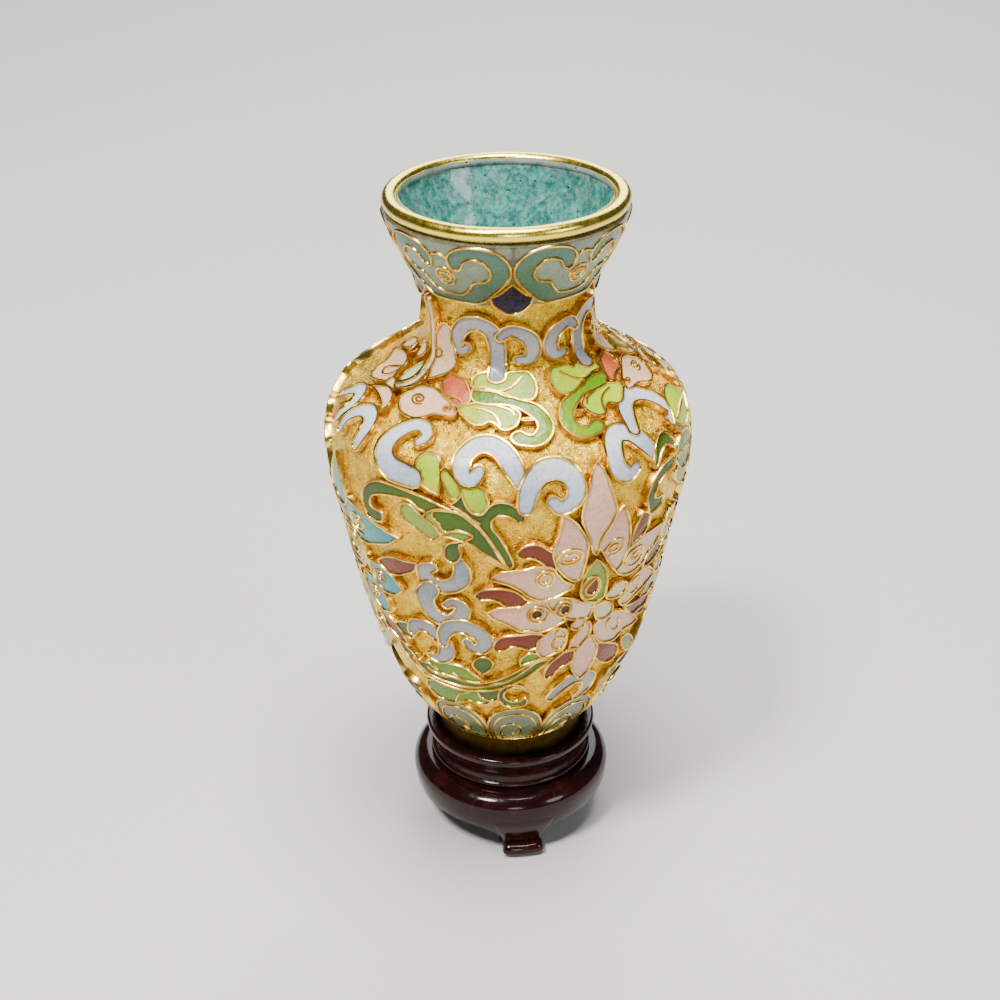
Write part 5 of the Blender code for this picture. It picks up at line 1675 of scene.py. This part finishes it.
class VaseColours(bpy.types.PropertyGroup):
    """Colours of the gilding, the lacquer and each enamel."""
    gold: colour_property("Gold", "Gilt wires and rings", (0.70, 0.40, 0.045))
    gold_bright: colour_property("Bright gold", "Polished spots of the gilding", (1.0, 0.76, 0.16))
    ground: colour_property("Ground", "The pitted gilt ground", (1.0, 0.575, 0.020))
    ground_bright: colour_property("Bright ground", "High spots of the ground", (1.0, 0.80, 0.085))
    # Besides the pits, this colour gives the painted shade beside the raised work, near the foot and over
    # the foot ring.
    dirt_and_shade: colour_property("Dirt", "Dirt in the pits and beside the wires", (0.10, 0.035, 0.006))
    inside: colour_property("Inside", "Enamel inside the mouth", (0.006, 0.125, 0.102))
    inside_pale: colour_property("Inside mottles", "Pale mottles inside the mouth", (0.045, 0.270, 0.220))
    inside_speck: colour_property("Inside specks", "Dark specks inside the mouth", (0.004, 0.020, 0.020))
    lacquer: colour_property("Lacquer", "The stand's dark lacquer", (0.010, 0.0022, 0.0022))
    lacquer_red: colour_property("Thin lacquer", "Where the lacquer is worn thin", (0.030, 0.0055, 0.005))


for enamel_name, (cover, main_colour, cloud_colour) in ENAMELS.items():
    VaseColours.__annotations__[enamel_name] = colour_property(
        cover, f"Enamel colour: {cover.lower()}", linear(*main_colour))
    VaseColours.__annotations__[enamel_name + "_cloud"] = colour_property(
        cover + " clouds", f"Clouds in the enamel: {cover.lower()}", linear(*cloud_colour))


class VaseStage(bpy.types.PropertyGroup):
    """The studio round the vase."""
    light: FloatProperty(name="Light", description="Strength of the studio lights", default=0.50, min=0.0)
    surroundings: FloatProperty(name="Surroundings", description="Strength of the soft light all round",
                                default=0.07, min=0.0)
    floor_colour: colour_property("Floor", "Colour of the floor", (0.53, 0.525, 0.51))


class VASE_OT_raised_work(bpy.types.Operator):
    """Add the enamel cells and their wires"""
    bl_idname = "vase.raised_work"
    bl_label = "Raised work"

    def execute(self, context):
        build_raised_work(context.scene.vase_sizes, context.scene.vase_colours)
        return {"FINISHED"}


class VASE_OT_ground(bpy.types.Operator):
    """Add the pitted gilt ground of the body"""
    bl_idname = "vase.ground"
    bl_label = "Gilt ground"

    def execute(self, context):
        build_ground(context.scene.vase_sizes, context.scene.vase_colours)
        return {"FINISHED"}


class VASE_OT_inside(bpy.types.Operator):
    """Add the enamel inside the body"""
    bl_idname = "vase.inside"
    bl_label = "Inside enamel"

    def execute(self, context):
        build_inside(context.scene.vase_sizes, context.scene.vase_colours)
        return {"FINISHED"}


class VASE_OT_lip_ring(bpy.types.Operator):
    """Add the gilt ring round the mouth"""
    bl_idname = "vase.lip_ring"
    bl_label = "Lip ring"

    def execute(self, context):
        build_lip_ring(context.scene.vase_sizes, context.scene.vase_colours)
        return {"FINISHED"}


class VASE_OT_foot_ring(bpy.types.Operator):
    """Add the gilt ring under the body"""
    bl_idname = "vase.foot_ring"
    bl_label = "Foot ring"

    def execute(self, context):
        build_foot_ring(context.scene.vase_sizes, context.scene.vase_colours)
        return {"FINISHED"}


class VASE_OT_stand(bpy.types.Operator):
    """Add the lacquered stand and its scroll feet"""
    bl_idname = "vase.stand"
    bl_label = "Stand"

    def execute(self, context):
        build_stand(context.scene.vase_sizes, context.scene.vase_colours)
        return {"FINISHED"}


class VASE_OT_stage(bpy.types.Operator):
    """Add the floor, the lights and the camera"""
    bl_idname = "vase.stage"
    bl_label = "Stage"

    def execute(self, context):
        build_stage(context.scene.vase_stage)
        return {"FINISHED"}


OPERATORS = (VASE_OT_ground, VASE_OT_raised_work, VASE_OT_inside, VASE_OT_lip_ring, VASE_OT_foot_ring,
             VASE_OT_stand, VASE_OT_stage)


class VASE_PT_panel(bpy.types.Panel):
    """Buttons for each piece of the vase, with its sizes and colours"""
    bl_idname = "VASE_PT_panel"
    bl_label = "Enamelled vase"
    bl_space_type = "VIEW_3D"
    bl_region_type = "UI"
    bl_category = "Vase"

    def draw(self, context):
        for operator in OPERATORS:
            self.layout.operator(operator.bl_idname)
        for group in (context.scene.vase_sizes, context.scene.vase_colours, context.scene.vase_stage):
            column = self.layout.column()
            for name in group.__annotations__:
                column.prop(group, name)


CLASSES = (VaseSizes, VaseColours, VaseStage) + OPERATORS + (VASE_PT_panel,)


def register():
    """Adds the sizes, colours, buttons and panel."""
    for made in CLASSES:
        bpy.utils.register_class(made)
    bpy.types.Scene.vase_sizes = PointerProperty(type=VaseSizes)
    bpy.types.Scene.vase_colours = PointerProperty(type=VaseColours)
    bpy.types.Scene.vase_stage = PointerProperty(type=VaseStage)


def unregister():
    """Takes away all that register adds."""
    del bpy.types.Scene.vase_stage
    del bpy.types.Scene.vase_colours
    del bpy.types.Scene.vase_sizes
    for made in reversed(CLASSES):
        bpy.utils.unregister_class(made)


def main():
    """Builds the vase, its stand and the stage."""
    register()
    bpy.ops.vase.ground()
    bpy.ops.vase.raised_work()
    bpy.ops.vase.inside()
    bpy.ops.vase.lip_ring()
    bpy.ops.vase.foot_ring()
    bpy.ops.vase.stand()
    bpy.ops.vase.stage()


if __name__ == "__main__":
    main()
